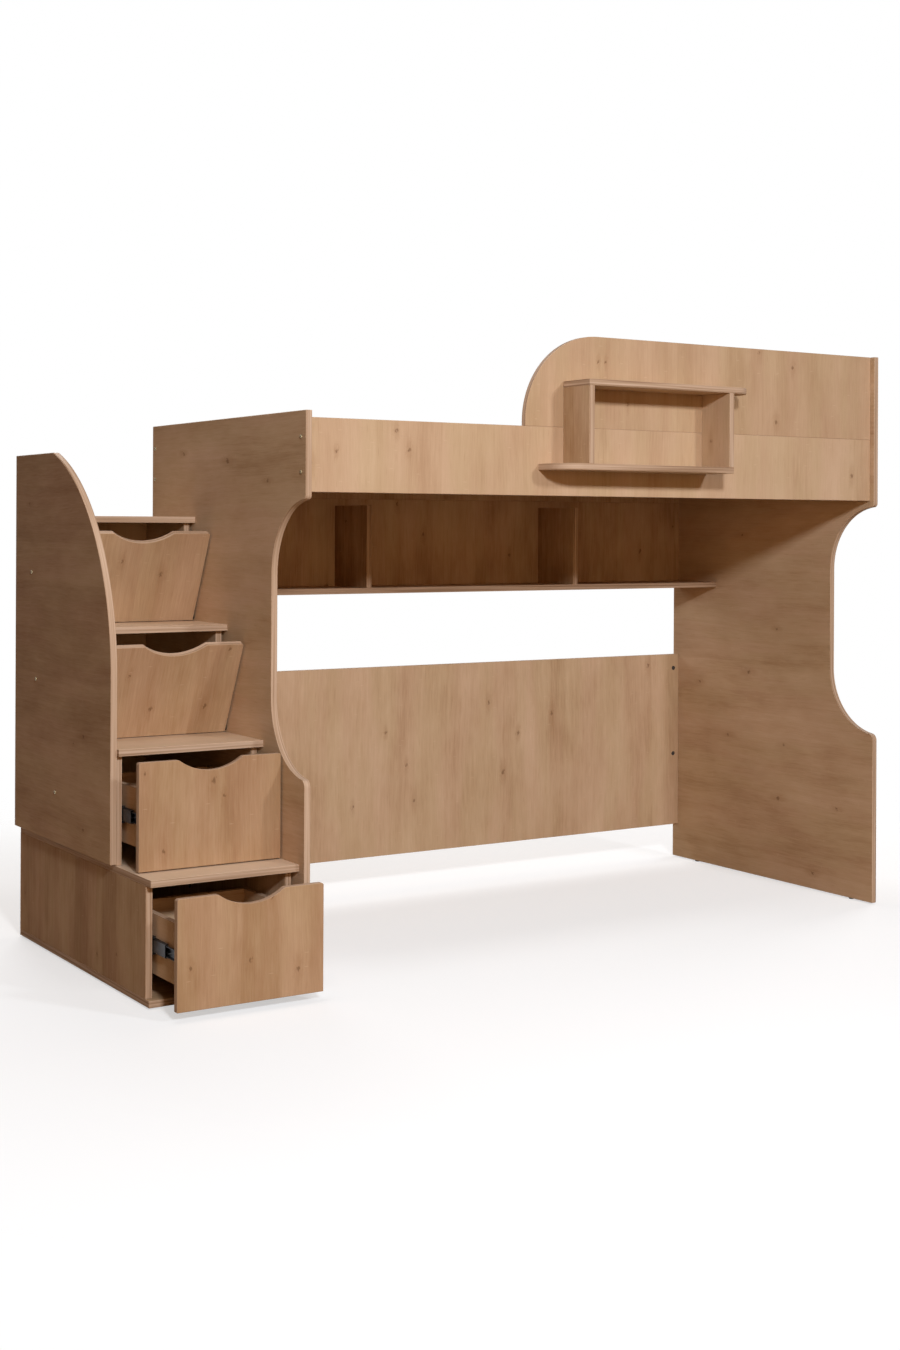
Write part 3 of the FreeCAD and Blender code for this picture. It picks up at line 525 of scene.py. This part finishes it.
PIN_RADIUS, PIN_NECK, PIN_TIP_SHARE = 0.0035, 0.0024, 0.7
PIN_HEAD, PIN_SLOPE, PIN_NECK_LENGTH = 0.003, 0.001, 0.004
neck_end = PIN_HEAD + PIN_SLOPE
neck_start = neck_end + PIN_NECK_LENGTH
pin_profile = [(0, 0, PIN_RADIUS * PIN_TIP_SHARE, 0), (0, PIN_SLOPE, PIN_RADIUS, 0),
               (1, -neck_start - PIN_SLOPE, PIN_RADIUS, 0), (1, -neck_start, PIN_NECK, 0),
               (1, -neck_end, PIN_NECK, 0), (1, -PIN_HEAD, PIN_RADIUS, 0), (1, 0, PIN_RADIUS, 0)]
pin_low, pin_high = cam_low[~is_disc], cam_high[~is_disc]
stands = (pin_high - pin_low)[:, Z] > (pin_high - pin_low)[:, X]
for name, chosen, axis in (("cam_pins_level", ~stands, X), ("cam_pins_upright", stands, Z)):
    from_low = stands[chosen] | (pin_low[chosen][:, X] < 0)
    pin_starts, pin_ends = axis_ends(pin_low[chosen], pin_high[chosen], axis, from_low)
    piece(name, turned(pin_starts, pin_ends, pin_profile), bolt_plate, "root", "cam_zinc")

SCREW_HEAD, SCREW_SHANK, SCREW_SLOT, SCREW_SLOT_DEPTH = 0.0050, 0.0032, 0.0029, 0.0020
SCREW_RIM, SCREW_CONE, SCREW_TIP = 0.0003, 0.0030, 0.0060
SLOT_FLOOR_SHARE, SCREW_FACE_SHARE, SCREW_POINT_SHARE = 0.8, 0.96, 0.1
screw_profile = [(0, SCREW_SLOT_DEPTH, SCREW_SLOT * SLOT_FLOOR_SHARE, 1), (0, 0, SCREW_SLOT, 1),
                 (0, 0, SCREW_HEAD * SCREW_FACE_SHARE, 0), (0, SCREW_RIM, SCREW_HEAD, 0),
                 (0, SCREW_CONE, SCREW_SHANK, 0), (1, -SCREW_TIP, SCREW_SHANK, 0),
                 (1, 0, SCREW_SHANK * SCREW_POINT_SHARE, 0)]
screw_low, screw_high = solids("joining_screws")
screw_starts, screw_ends = axis_ends(screw_low, screw_high, Y, False)
piece("joining_screw_set", turned(screw_starts, screw_ends, screw_profile, cross, RECESS_STEPS), bolt_plate,
      "root", "bolt_steel", "joining_screws")


# Bed base: fourteen broad softwood slats that lie close together across two cleats along the rails.
# The wood is planed, bare and pale, with its grain along each stick. Beech dowels of the same look pin
# the boards' joints.
BARE_TONES = ((0.0, (0.400, 0.245, 0.130)), (0.5, (0.560, 0.375, 0.220)), (1.0, (0.670, 0.490, 0.315)))
BARE_TONE, BARE_GLOSS, BARE_SKEW = 0.55, 0.2, 0.7
GROWTH_CELL, GROWTH_WEIGHT = (0.009, 0.60), 0.9
BARE_FIBRE_CELL, BARE_FIBRE_WEIGHT = (0.0020, 0.05), 0.5
STICK_CELL, STICK_WEIGHT = (0.12, 2.5), 0.7
FLECK_NET, FLECK_HALF, FLECK_SHARE, FLECK_DEPTH = (0.012, 0.030), (0.0006, 0.0045), 0.5, 0.5
BARE_ROUGHNESS, BARE_FIBRE_ROUGHNESS = 0.60, 0.2
BARE_FIBRE_RELIEF, FLECK_RELIEF = 0.00012, 0.00010


def bare_wood(grain, shift):
    """Recipe of bare planed wood: growth streaks of 9 mm and fibres of 2 mm drawn out along the grain axis.

    Across is one of the other two axes plus a share of the second, so every face cuts the streaks."""
    def recipe(place):
        spot = place.split()
        along = spot[grain]
        across = spot[(grain + 1) % 3] + spot[(grain + 2) % 3] * BARE_SKEW + shift
        growth = streaks(across, along, GROWTH_CELL)
        fibre = streaks(across, along, BARE_FIBRE_CELL, detail=1.0)
        stick = streaks(across, along, STICK_CELL, detail=0.0)
        tone = BARE_TONE + growth * GROWTH_WEIGHT + fibre * BARE_FIBRE_WEIGHT + stick * STICK_WEIGHT
        fleck = marks(across, along, FLECK_NET, FLECK_HALF, FLECK_SHARE)
        colour = (fleck * FLECK_DEPTH).blend(tone.ramp(BARE_TONES), OAK_STAIN)
        roughness = BARE_ROUGHNESS + fibre * BARE_FIBRE_ROUGHNESS
        return colour, roughness, fibre * BARE_FIBRE_RELIEF - fleck * FLECK_RELIEF
    return recipe


for node, name, grain, shift in (("bed_slats", "slat_softwood", Y, 0.4),
                                 ("slat_cleats", "cleat_softwood", X, 3.7),
                                 ("joint_dowels", "dowel_beech", X, 6.2)):
    dress(node, material_of(name, bare_wood(grain, shift), Specular_IOR_Level=BARE_GLOSS))


# Bookshelf: four printed boards on the front of the guard, screwed from the bed side. Top and bottom have
# long grain and reach past the uprights, each on its own side.
oak_board("bookshelf_bottom", Z, X, shift=27.92, strength=0.8, band=0.50)
oak_board("bookshelf_top", Z, X, shift=30.51, strength=0.8, band=0.50)
oak_board("bookshelf_left_side", X, Z, shift=32.18, tint=-0.16, strength=0.8)
oak_board("bookshelf_right_side", X, Z, shift=33.87, tint=0.16, strength=0.8, band=0.50)


# Stair boxes: four boxes of printed board stacked to a stair, each of two sides under a tread that overhangs
# in front. The upper sides carry level grain and the lowest upright grain, and thin boards close the backs.
# The treads' upper faces have a coat of clear lacquer.
TREAD_COAT = 1.0
oak_board("base_bottom_board", Z, X, shift=36.44)
# The treads' paler tints, palest on the lowest, are painted light falling from above on their upper faces.
for number, shift, tint in ((1, 38.13, 0.45), (2, 40.77, 0.30), (3, 42.35, 0.30), (4, 44.91, 0.30)):
    oak_board(f"tread_{number}", Z, X, shift, tint, strength=0.8, coat=TREAD_COAT, band=0.66)
# The base's left side has a darker tint: painted shade on a face turned away from the lamps.
oak_board("base_left_side", X, Z, shift=47.28, tint=-0.13, wild=0.2, strength=0.8, knots=(
    (0.35, 0.17, 0.006), (0.96, 0.39, 0.006)))
oak_board("base_right_side", X, Z, shift=48.63, tint=-0.06)
LEFT_SIDES_SHIFT, LEFT_SIDES_STEP, RIGHT_SIDES_SHIFT, RIGHT_SIDES_STEP = 50.0, 1.37, 56.0, 1.71
for number in (2, 3, 4):
    oak_board(f"step_{number}_left_side", X, Y, LEFT_SIDES_SHIFT + number * LEFT_SIDES_STEP, tint=-0.05)
    oak_board(f"step_{number}_right_side", X, Y, RIGHT_SIDES_SHIFT + number * RIGHT_SIDES_STEP, tint=-0.05)
oak_board("stair_backs", Y, Z, shift=63.2, strength=0.7)


# Outer stair panel: one tall printed board that covers the upper three boxes, its front edge cut to a long
# sweep. Domed bolts hold it to the boxes, and longer ones hold the boxes to the bed, each in a capped
# sleeve nut.
# Its darker tint is painted shade on its face turned away from the lamps.
oak_board("stair_outer_panel", X, Y, shift=66.85, tint=-0.10, wild=0.2, strength=0.8, band=0.72, knots=(
    (0.29, 0.26, 0.007), (0.06, 0.26, 0.009), (0.87, 0.84, 0.006)))
LONGEST_NUT, SLEEVE = 0.020, 0.0045
link_low, link_high = solids("stair_bolts")
is_bolt = (link_high - link_low)[:, X] > LONGEST_NUT
link_starts, link_ends = axis_ends(link_low[is_bolt], link_high[is_bolt], X, True)
piece("stair_bolt_set", turned(link_starts, link_ends, bolt_profile, hexagon), bolt_plate, "root",
      "bolt_steel", "stair_bolts")
sleeve_profile = button_head(BOLT_RIM, BOLT_HEAD, BOLT_FLAT, SLEEVE)
nut_starts, nut_ends = axis_ends(link_low[~is_bolt], link_high[~is_bolt], X, False)
piece("sleeve_nut_set", turned(nut_starts, nut_ends, sleeve_profile, hexagon), bolt_plate, "root",
      "bolt_steel")


# Drawers: an 18 mm notched front screwed to a box of 16 mm boards with a thin bottom in a groove.
# Front, sides and back carry the oak print, and the sides show a band on their level edges.
drawer_knots = {
    1: ((0.49, 0.38, 0.007), (0.82, 0.24, 0.008), (0.09, 0.38, 0.006), (0.64, 0.93, 0.006)),
    2: ((0.04, 0.90, 0.006), (0.17, 0.17, 0.008), (0.59, 0.64, 0.006), (0.52, 0.79, 0.009)),
}
DRAWER_BACK_SHIFT, DRAWER_BOTTOM_SHIFT = 1.21, 1.93
# The fronts' darker tint is painted shade, for light that falls off towards the floor.
for number, shift in ((1, 70.12), (2, 73.58)):
    oak_board(f"drawer_{number}_front", Y, Z, shift, tint=-0.22, knots=drawer_knots[number], wild=0.1,
              strength=0.5)
    oak_board(f"drawer_{number}_back", Y, X, shift + DRAWER_BACK_SHIFT, tint=-0.12)
    oak_board(f"drawer_{number}_bottom", Z, Y, shift + DRAWER_BOTTOM_SHIFT, tint=-0.12)
SIDE_BAND_FULL, SIDE_BAND_END, SIDE_LINE_WEIGHT = 0.0008, 0.0012, 1.7


def box_sides(node, shift):
    """Dresses a pair of drawer sides: print on the upright faces, and band on the level edges."""
    low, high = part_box(node)

    def recipe(place):
        x, y, z = place.split()
        side = x > (low.x + high.x) / 2
        # The sides' lighter tint is painted light on their faces in the drawer openings.
        colour, fibre, dark, _ = oak(z, y, side, shift, tint=0.15, wild=0.3, strength=0.8)
        edge = (z - low.z).least(high.z - z).step(SIDE_BAND_END, SIDE_BAND_FULL)
        line = streaks(x, y + shift, BAND_LINE_CELL)
        colour = edge.blend(colour, (BAND_TONE + line * SIDE_LINE_WEIGHT).ramp(BAND_TONES))
        roughness = OAK_ROUGHNESS + fibre * FIBRE_ROUGHNESS
        return colour, roughness, fibre * FIBRE_RELIEF - dark * MARK_RELIEF

    dress(node, material_of(node + "_oak", recipe, Specular_IOR_Level=OAK_GLOSS))


box_sides("drawer_1_sides", shift=76.4)
box_sides("drawer_2_sides", shift=79.9)


# Drawer slides: three dark zinc-plated steel members, rolled with curled edges, that pull out of each other
# on rows of steel balls in thin cages. Their front ends have black plastic stops, a black lever on the inner
# member lets the drawer go, and flat screws hold that member to the drawer.
STEEL_TONES = ((0.0, (0.016, 0.017, 0.020)), (0.5, (0.038, 0.040, 0.045)), (1.0, (0.095, 0.098, 0.106)))
ROLL_CELL, ROLL_WEIGHT = (0.0016, 0.20), 0.9
ZINC_CLOUDS, ZINC_CLOUD_WEIGHT = (70.0, 22.0, 70.0), 0.9
ZINC_ROUGHNESS, ZINC_CLOUD_ROUGHNESS, ROLL_ROUGHNESS, ROLL_RELIEF = 0.40, 0.3, 0.15, 0.00004


def zinc(place):
    """Recipe of zinc plating: lengthwise roll lines along y, cloudy patches and a slight waviness."""
    x, y, z = place.split()
    roll = streaks(z + x, y, ROLL_CELL)
    cloud = place.scaled(ZINC_CLOUDS).noise(detail=3.0, dimensions="3D")
    tone = MIDDLE_TONE + roll * ROLL_WEIGHT + cloud * ZINC_CLOUD_WEIGHT
    roughness = ZINC_ROUGHNESS + cloud * ZINC_CLOUD_ROUGHNESS + roll * ROLL_ROUGHNESS
    return tone.ramp(STEEL_TONES), roughness, roll * ROLL_RELIEF


PLASTIC_TONES = ((0.0, (0.010, 0.010, 0.011)), (1.0, (0.035, 0.035, 0.038)))
black_plastic = speckled(PLASTIC_TONES, patches=60.0, detail=2.0, grains=1400.0, patch_weight=0.8,
                         grain_weight=0.4, roughness=0.48, swing=0.2, relief=0.00005)
slide_zinc = material_of("slide_zinc", zinc, Metallic=0.9)
black_moulding = material_of("black_moulding", black_plastic)
SHEET, MILLIMETRES_IN_METRE = 0.0012, 1000
# Half of each member's section, from the curled edge to the middle of the web, in millimetres: from the
# wall, and up.
OUTER_LINE = ((10.6, 20.2), (9.4, 21.3), (7.2, 21.9), (3.2, 21.9), (1.3, 21.2), (0.6, 19.4), (0.6, 0.0))
MIDDLE_LINE = ((10.8, 17.4), (9.2, 16.6), (6.4, 16.4), (4.2, 16.6), (2.8, 15.6), (2.4, 13.8), (2.4, 0.0))
INNER_LINE = ((3.9, 12.9), (5.4, 12.1), (8.0, 11.9), (10.6, 11.9), (11.7, 11.0), (12.1, 9.4), (12.1, 0.0))


def sheet_section(half_line):
    """Closed outline of a bent sheet: its half line mirrored, then set off by half the sheet each way."""
    upper = np.array(half_line) / MILLIMETRES_IN_METRE
    line = np.concatenate([upper, upper[-2::-1] * (1, -1)])
    run = np.gradient(line, axis=0)
    run /= np.linalg.norm(run, axis=1, keepdims=True)
    normal = np.stack([-run[:, 1], run[:, 0]], 1) * SHEET / 2
    return np.concatenate([line + normal, (line - normal)[::-1]])


def drawn(sections, walls, level, places):
    """Sections, one for each place along y, at both walls of a slide, as grid[wall, ring, step, axis].

    Their points are (from the wall, up) and run clockwise. walls are (x, hand), and hand is 1 where the
    drawer lies at higher x and -1 where it lies at lower x, which mirrors the section and turns its
    points round."""
    grids = []
    for wall, hand in walls:
        order = sections[:, ::hand]
        x = wall + hand * order[..., 0]
        y = np.broadcast_to(np.array(places)[:, None], x.shape)
        grids.append(np.stack([x, y, level + order[..., 1]], -1))
    return np.stack(grids)


BALL_COUNT, BALL_PITCH = 9, 0.017
BALL_RINGS, BALL_STEPS, BALL_POLE = 9, 12, 0.12
ball_turn = np.linspace(BALL_POLE, math.pi - BALL_POLE, BALL_RINGS)
CAGE_HALF_WIDTH, CAGE_HALF_THICK, CAGE_INSET = 0.0030, 0.0003, 0.012
CAGE_WAIST_SHARE, CAGE_RINGS_PER_BALL = 0.2, 8


def cage_sections(middle):
    """Sections of a ball cage along y: a thin strip, wide at each cell's middle, where its ball lies.

    Its half width follows the cosine of the way along a cell, and is two fifths less between the balls."""
    turn = np.linspace(0, BALL_COUNT, BALL_COUNT * CAGE_RINGS_PER_BALL + 1)
    swing = CAGE_WAIST_SHARE * np.cos(2 * math.pi * turn)
    wide = CAGE_HALF_WIDTH * (1 - CAGE_WAIST_SHARE - swing)[:, None]
    sign = np.array([(1, 1), (1, -1), (-1, -1), (-1, 1)])
    up = np.broadcast_to(middle[1] + CAGE_HALF_THICK * sign[:, 1], (len(turn), len(sign)))
    return np.stack([middle[0] + wide * sign[:, 0], up], -1), turn * BALL_PITCH


OVAL_STEPS = 24


def blunt_sections(middles, halves):
    """Blunt ovals about their middles: each half size times the root of cosine or sine, with its sign."""
    turn = -np.arange(OVAL_STEPS) * 2 * math.pi / OVAL_STEPS
    rim = np.stack([np.sign(wave) * np.sqrt(np.abs(wave)) for wave in (np.cos(turn), np.sin(turn))], -1)
    return middles[:, None, :] + rim * halves[:, None, :]


STOP_LENGTH = 0.009
STOP_SHARES = np.array(((0.0, 0.6), (0.2, 1.0), (0.8, 1.0), (1.0, 0.7)))


def stop_sections(middle, half):
    """Sections of a plastic stop along y: one blunt oval, drawn in at both ends."""
    places, sizes = STOP_SHARES.T
    middles = np.tile(middle, (len(sizes), 1))
    return blunt_sections(middles, sizes[:, None] * half), places * STOP_LENGTH


LEVER_OUT, LEVER_HALF_THICK, LEVER_HALF_WIDTH = 0.0102, 0.0012, 0.0030
LEVER_RISE, LEVER_INSET, LEVER_LENGTH = 0.0060, 0.018, 0.064
LEVER_RINGS, LEVER_SWELL_SHARE = 25, 0.3


def lever_sections():
    """Sections of the release lever along y: it sweeps down by a half cosine and is widest at its ends."""
    turn = np.linspace(0, 1, LEVER_RINGS)
    middles = np.stack([np.full_like(turn, LEVER_OUT), LEVER_RISE * np.cos(math.pi * turn)], -1)
    swell = LEVER_SWELL_SHARE * np.cos(2 * math.pi * turn)
    wide = LEVER_HALF_WIDTH * (1 - LEVER_SWELL_SHARE + swell)
    halves = np.stack([np.full_like(turn, LEVER_HALF_THICK), wide], -1)
    return blunt_sections(middles, halves), turn * LEVER_LENGTH


# Balls and stops of the outer and the inner run: (from the wall, up) of their middles, and their half sizes.
OUTER_BALLS, OUTER_BALL_RADIUS = (0.0065, 0.0192), 0.00205
INNER_BALLS, INNER_BALL_RADIUS = (0.0072, 0.0142), 0.00150
OUTER_STOP, OUTER_STOP_HALF = (0.0058, 0.0192), (0.0028, 0.0017)
INNER_STOP, INNER_STOP_HALF = (0.0078, 0.0142), (0.0022, 0.0013)
FLAT_SCREW_INSET, FLAT_SCREW_SEAT, FLAT_SCREW_TOP = 0.010, 0.0115, 0.0099
FLAT_SCREW_RADIUS, FLAT_SCREW_FACE, FLAT_SCREW_RIM = 0.0037, 0.0030, 0.0005
FLAT_SCREW_SLOT, FLAT_SCREW_SLOT_FLOOR, FLAT_SCREW_SLOT_DEPTH = 0.0020, 0.0018, 0.0010
flat_screw_profile = [(0, FLAT_SCREW_SLOT_DEPTH, FLAT_SCREW_SLOT_FLOOR, 1), (0, 0, FLAT_SCREW_SLOT, 1),
                      (0, 0, FLAT_SCREW_FACE, 0), (0, FLAT_SCREW_RIM, FLAT_SCREW_RADIUS, 0),
                      (1, 0, FLAT_SCREW_RADIUS, 0)]
for drawer in ("drawer_1", "drawer_2"):
    outer_low, outer_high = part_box(f"{drawer}_outer_slides")
    middle_low, middle_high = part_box(f"{drawer}_middle_slides")
    inner_low, inner_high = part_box(f"{drawer}_inner_slides")
    walls = ((outer_low.x, 1), (outer_high.x, -1))
    level = (outer_low.z + outer_high.z) / 2
    middle_body = f"{drawer}_middle"
    members = (("outer", OUTER_LINE, "root", outer_low.y, outer_high.y),
               ("middle", MIDDLE_LINE, middle_body, middle_low.y, middle_high.y),
               ("inner", INNER_LINE, drawer, inner_low.y, inner_high.y))
    for member, line, body, front, back in members:
        section = sheet_section(line)
        grid = drawn(np.stack([section, section]), walls, level, (front, back))
        piece(f"{drawer}_{member}_runners", grid, slide_zinc, body, "slide_steel",
              f"{drawer}_{member}_slides")

    cage_length = BALL_COUNT * BALL_PITCH
    rows = (("outer", OUTER_BALLS, OUTER_BALL_RADIUS, middle_high.y - CAGE_INSET - cage_length),
            ("inner", INNER_BALLS, INNER_BALL_RADIUS, middle_low.y + CAGE_INSET))
    for row, (out, up), radius, front in rows:
        for edge, height in (("upper", up), ("lower", -up)):
            sections, places = cage_sections((out, height))
            piece(f"{drawer}_{row}_{edge}_cages", drawn(sections, walls, level, front + places), slide_zinc,
                  middle_body, "slide_steel")
        ball_y = front + (np.arange(BALL_COUNT) + 0.5) * BALL_PITCH
        centres = np.array([(wall + hand * out, y, level + height)
                            for wall, hand in walls for height in (up, -up) for y in ball_y])
        ball_profile = [(0.5, -radius * math.cos(turn), radius * math.sin(turn), 0) for turn in ball_turn]
        pole = np.array((0, 0, radius))
        balls = turned(centres - pole, centres + pole, ball_profile, steps=BALL_STEPS)
        piece(f"{drawer}_{row}_balls", balls, slide_zinc, middle_body, "slide_steel")

    stops = (("outer", "root", OUTER_STOP, OUTER_STOP_HALF, outer_low.y),
             ("inner", middle_body, INNER_STOP, INNER_STOP_HALF, middle_low.y))
    for row, body, (out, up), half, front in stops:
        for edge, height in (("upper", up), ("lower", -up)):
            sections, places = stop_sections((out, height), half)
            piece(f"{drawer}_{row}_{edge}_stops", drawn(sections, walls, level, front + places),
                  black_moulding, body, "black_plastic")

    sections, places = lever_sections()
    lever_places = inner_low.y + LEVER_INSET + places
    piece(f"{drawer}_release_levers", drawn(sections, walls, level, lever_places), black_moulding, drawer,
          "black_plastic")
    screw_y = inner_low.y + FLAT_SCREW_INSET
    screw_tops = np.array([(wall + hand * FLAT_SCREW_TOP, screw_y, level) for wall, hand in walls])
    screw_seats = np.array([(wall + hand * FLAT_SCREW_SEAT, screw_y, level) for wall, hand in walls])
    flat_screws = turned(screw_tops, screw_seats, flat_screw_profile, cross, RECESS_STEPS)
    piece(f"{drawer}_slide_screws", flat_screws, bolt_plate, drawer, "bolt_steel")


# Tilting fronts: two notched printed boards that swing out at the top on steel pins beside their lower
# edge. A steel stay screwed inside each one runs against a plastic keeper and stops the swing.
flap_knots = {
    3: ((0.20, 0.69, 0.005), (0.40, 0.31, 0.008), (0.80, 0.31, 0.008), (0.90, 0.95, 0.006)),
    4: ((0.37, 0.69, 0.006), (0.68, 0.54, 0.009)),
}
# The fronts' darker tints are painted shade, for light that falls off towards the floor.
for number, shift, tint in ((3, 83.31, -0.15), (4, 86.77, -0.12)):
    joint = next(joint for joint in frame["joints"] if joint["child"] == f"bin_{number}")
    swing = math.radians(-joint["range_deg"][0])
    oak_board(f"flap_{number}", Y, Z, shift, tint, flap_knots[number], wild=0.1, strength=0.55,
              lean=(joint["pos_m"], swing))
    dress(f"flap_{number}_stay", slide_zinc)
dress("flap_pivots", slide_zinc)
dress("stay_keepers", black_moulding)


# Glides: low black plastic buttons nailed under the end panels and the lowest box, so that no board stands
# on the floor. Each has a rounded rim and a hollow in the middle for the nail's head.
GLIDE_NAIL, GLIDE_HOLLOW, GLIDE_RIM, GLIDE_STEPS = 0.0030, 0.0012, 0.0018, 32
MOUTH_SHARE, SOLE_SHARE, RIM_BEND_SHARE, BEND_RADIUS_SHARE = 1.4, 0.80, 0.3, 0.94
glide_low, glide_high = solids("glides")
glide_radius = (glide_high - glide_low)[:, X].max() / 2
glide_profile = [(0, GLIDE_HOLLOW, GLIDE_NAIL, 0), (0, 0, GLIDE_NAIL * MOUTH_SHARE, 0),
                 (0, 0, glide_radius * SOLE_SHARE, 0),
                 (0, GLIDE_RIM * RIM_BEND_SHARE, glide_radius * BEND_RADIUS_SHARE, 0),
                 (0, GLIDE_RIM, glide_radius, 0), (1, 0, glide_radius, 0)]
glide_starts, glide_ends = axis_ends(glide_low, glide_high, Z, True)
piece("glide_set", turned(glide_starts, glide_ends, glide_profile, steps=GLIDE_STEPS), black_moulding,
      "root", "black_plastic", "glides")


# Studio: a white floor that keeps the shadow and fades into a white ground, a strong lamp in front on the
# left, weaker ones on the right and over the stair, a broad warm one low in front, broad ones on the wall
# side and at the far end, and a camera at chest height.
FLOOR_REACH = 5.0
floor_corners = np.array([(-1, -1, 0), (1, -1, 0), (1, 1, 0), (-1, 1, 0)]) * FLOOR_REACH
floor_mesh = bpy.data.meshes.new("floor")
floor_mesh.from_pydata(floor_corners, [], [(0, 1, 2, 3)])
floor = bpy.data.objects.new("floor", floor_mesh)
bpy.context.scene.collection.objects.link(floor)

FLOOR_PAPER = (0.52, 0.53, 0.54, 1.0)
FLOOR_GLOW = (0.54, 0.54, 0.54, 1.0)
FLOOR_BOUNCE = (0.42, 0.31, 0.20, 1.0)
FADE_START, FADE_END = 1.6, 3.2
AMBIENT = (0.092, 0.038, 0.009, 1.0)
WHITE = (1.0, 1.0, 1.0, 1.0)
BLACK = (0.0, 0.0, 0.0, 1.0)
floor_material = bpy.data.materials.new("floor_paper")
floor_material.use_nodes = True
floor_tree = floor_material.node_tree
paper = floor_tree.nodes["Principled BSDF"]
paper.inputs["Roughness"].default_value = 0.9
paper.inputs["Specular IOR Level"].default_value = 0.0
paper.inputs["Emission Strength"].default_value = 1.0
floor_start = Shade(floor_tree)


def seen_directly(shade):
    """1 on rays from the camera, and on mirrored and transmitted ones."""
    kinds = ("Is Camera Ray", "Is Glossy Ray", "Is Transmission Ray")
    camera_ray, glossy_ray, through_ray = shade.node("ShaderNodeLightPath", {}, kinds)
    return camera_ray.most(glossy_ray).most(through_ray)


floor_seen = seen_directly(floor_start)
floor_tree.links.new(floor_seen.blend(FLOOR_BOUNCE, FLOOR_PAPER).output, paper.inputs["Base Color"])
floor_tree.links.new(floor_seen.blend(BLACK, FLOOR_GLOW).output, paper.inputs["Emission Color"])
fade = floor_start.node("ShaderNodeTexCoord", {}, "Object").length().step(FADE_START, FADE_END)
clear = floor_start.node("ShaderNodeBsdfTransparent", {})
paper_shade = Shade(floor_tree, paper.outputs[0])
faded = floor_start.node("ShaderNodeMixShader", {0: fade, 1: paper_shade, 2: clear})
floor_tree.links.new(faded.output, floor_tree.nodes["Material Output"].inputs["Surface"])
floor_mesh.materials.append(floor_material)

world = bpy.data.worlds.new("studio")
bpy.context.scene.world = world
world.use_nodes = True
ground = seen_directly(Shade(world.node_tree)).blend(AMBIENT, WHITE)
world.node_tree.links.new(ground.output, world.node_tree.nodes["Background"].inputs["Color"])


def lamp(name, place, aim, size, watts, colour=(1.0, 1.0, 1.0)):
    """A square area lamp at a place, tilted from straight down and turned about z to face its aim."""
    data = bpy.data.lights.new(name, "AREA")
    data.size = size
    data.energy = watts
    data.color = colour
    made = bpy.data.objects.new(name, data)
    made.location = place
    x, y, z = np.subtract(aim, place)
    made.rotation_euler = (math.atan2(math.hypot(x, y), -z), 0, math.atan2(-x, y))
    bpy.context.scene.collection.objects.link(made)


KEY = (0.96, 1.0, 1.05)
WARM = (1.0, 0.62, 0.32)
BED_MIDDLE = (0.1, 0.0, 1.0)
STAIR_MIDDLE = (-1.0, -0.1, 0.0)
lamp("left_lamp", place=(-2.2, -5.4, 3.15), aim=BED_MIDDLE, size=0.5, watts=206, colour=KEY)
lamp("right_lamp", place=(1.5, -5.2, 3.15), aim=BED_MIDDLE, size=0.5, watts=96, colour=KEY)
lamp("low_lamp", place=(-2.6, -5.7, 1.5), aim=BED_MIDDLE, size=1.6, watts=52, colour=WARM)
lamp("stair_lamp", place=(-1.2, -0.55, 3.2), aim=STAIR_MIDDLE, size=0.5, watts=13)
lamp("wall_side_lamp", place=(0.4, 4.6, 3.4), aim=BED_MIDDLE, size=2.5, watts=150)
lamp("far_end_lamp", place=(5.4, 1.4, 2.2), aim=BED_MIDDLE, size=2.5, watts=120)

CAMERA_LENS, CAMERA_SENSOR, CAMERA_SHIFT = 47.98, 36.0, -0.1095
CAMERA_PLACE = (-2.98705, -4.5345, 1.1942)
CAMERA_DEGREES = (89.99, -0.26, -32.53)
camera_data = bpy.data.cameras.new("camera")
camera_data.lens = CAMERA_LENS
camera_data.sensor_width = CAMERA_SENSOR
camera_data.shift_y = CAMERA_SHIFT
camera = bpy.data.objects.new("camera", camera_data)
camera.location = CAMERA_PLACE
camera.rotation_euler = [math.radians(turn) for turn in CAMERA_DEGREES]
bpy.context.scene.collection.objects.link(camera)
bpy.context.scene.camera = camera
bpy.context.scene.view_settings.view_transform = "Standard"
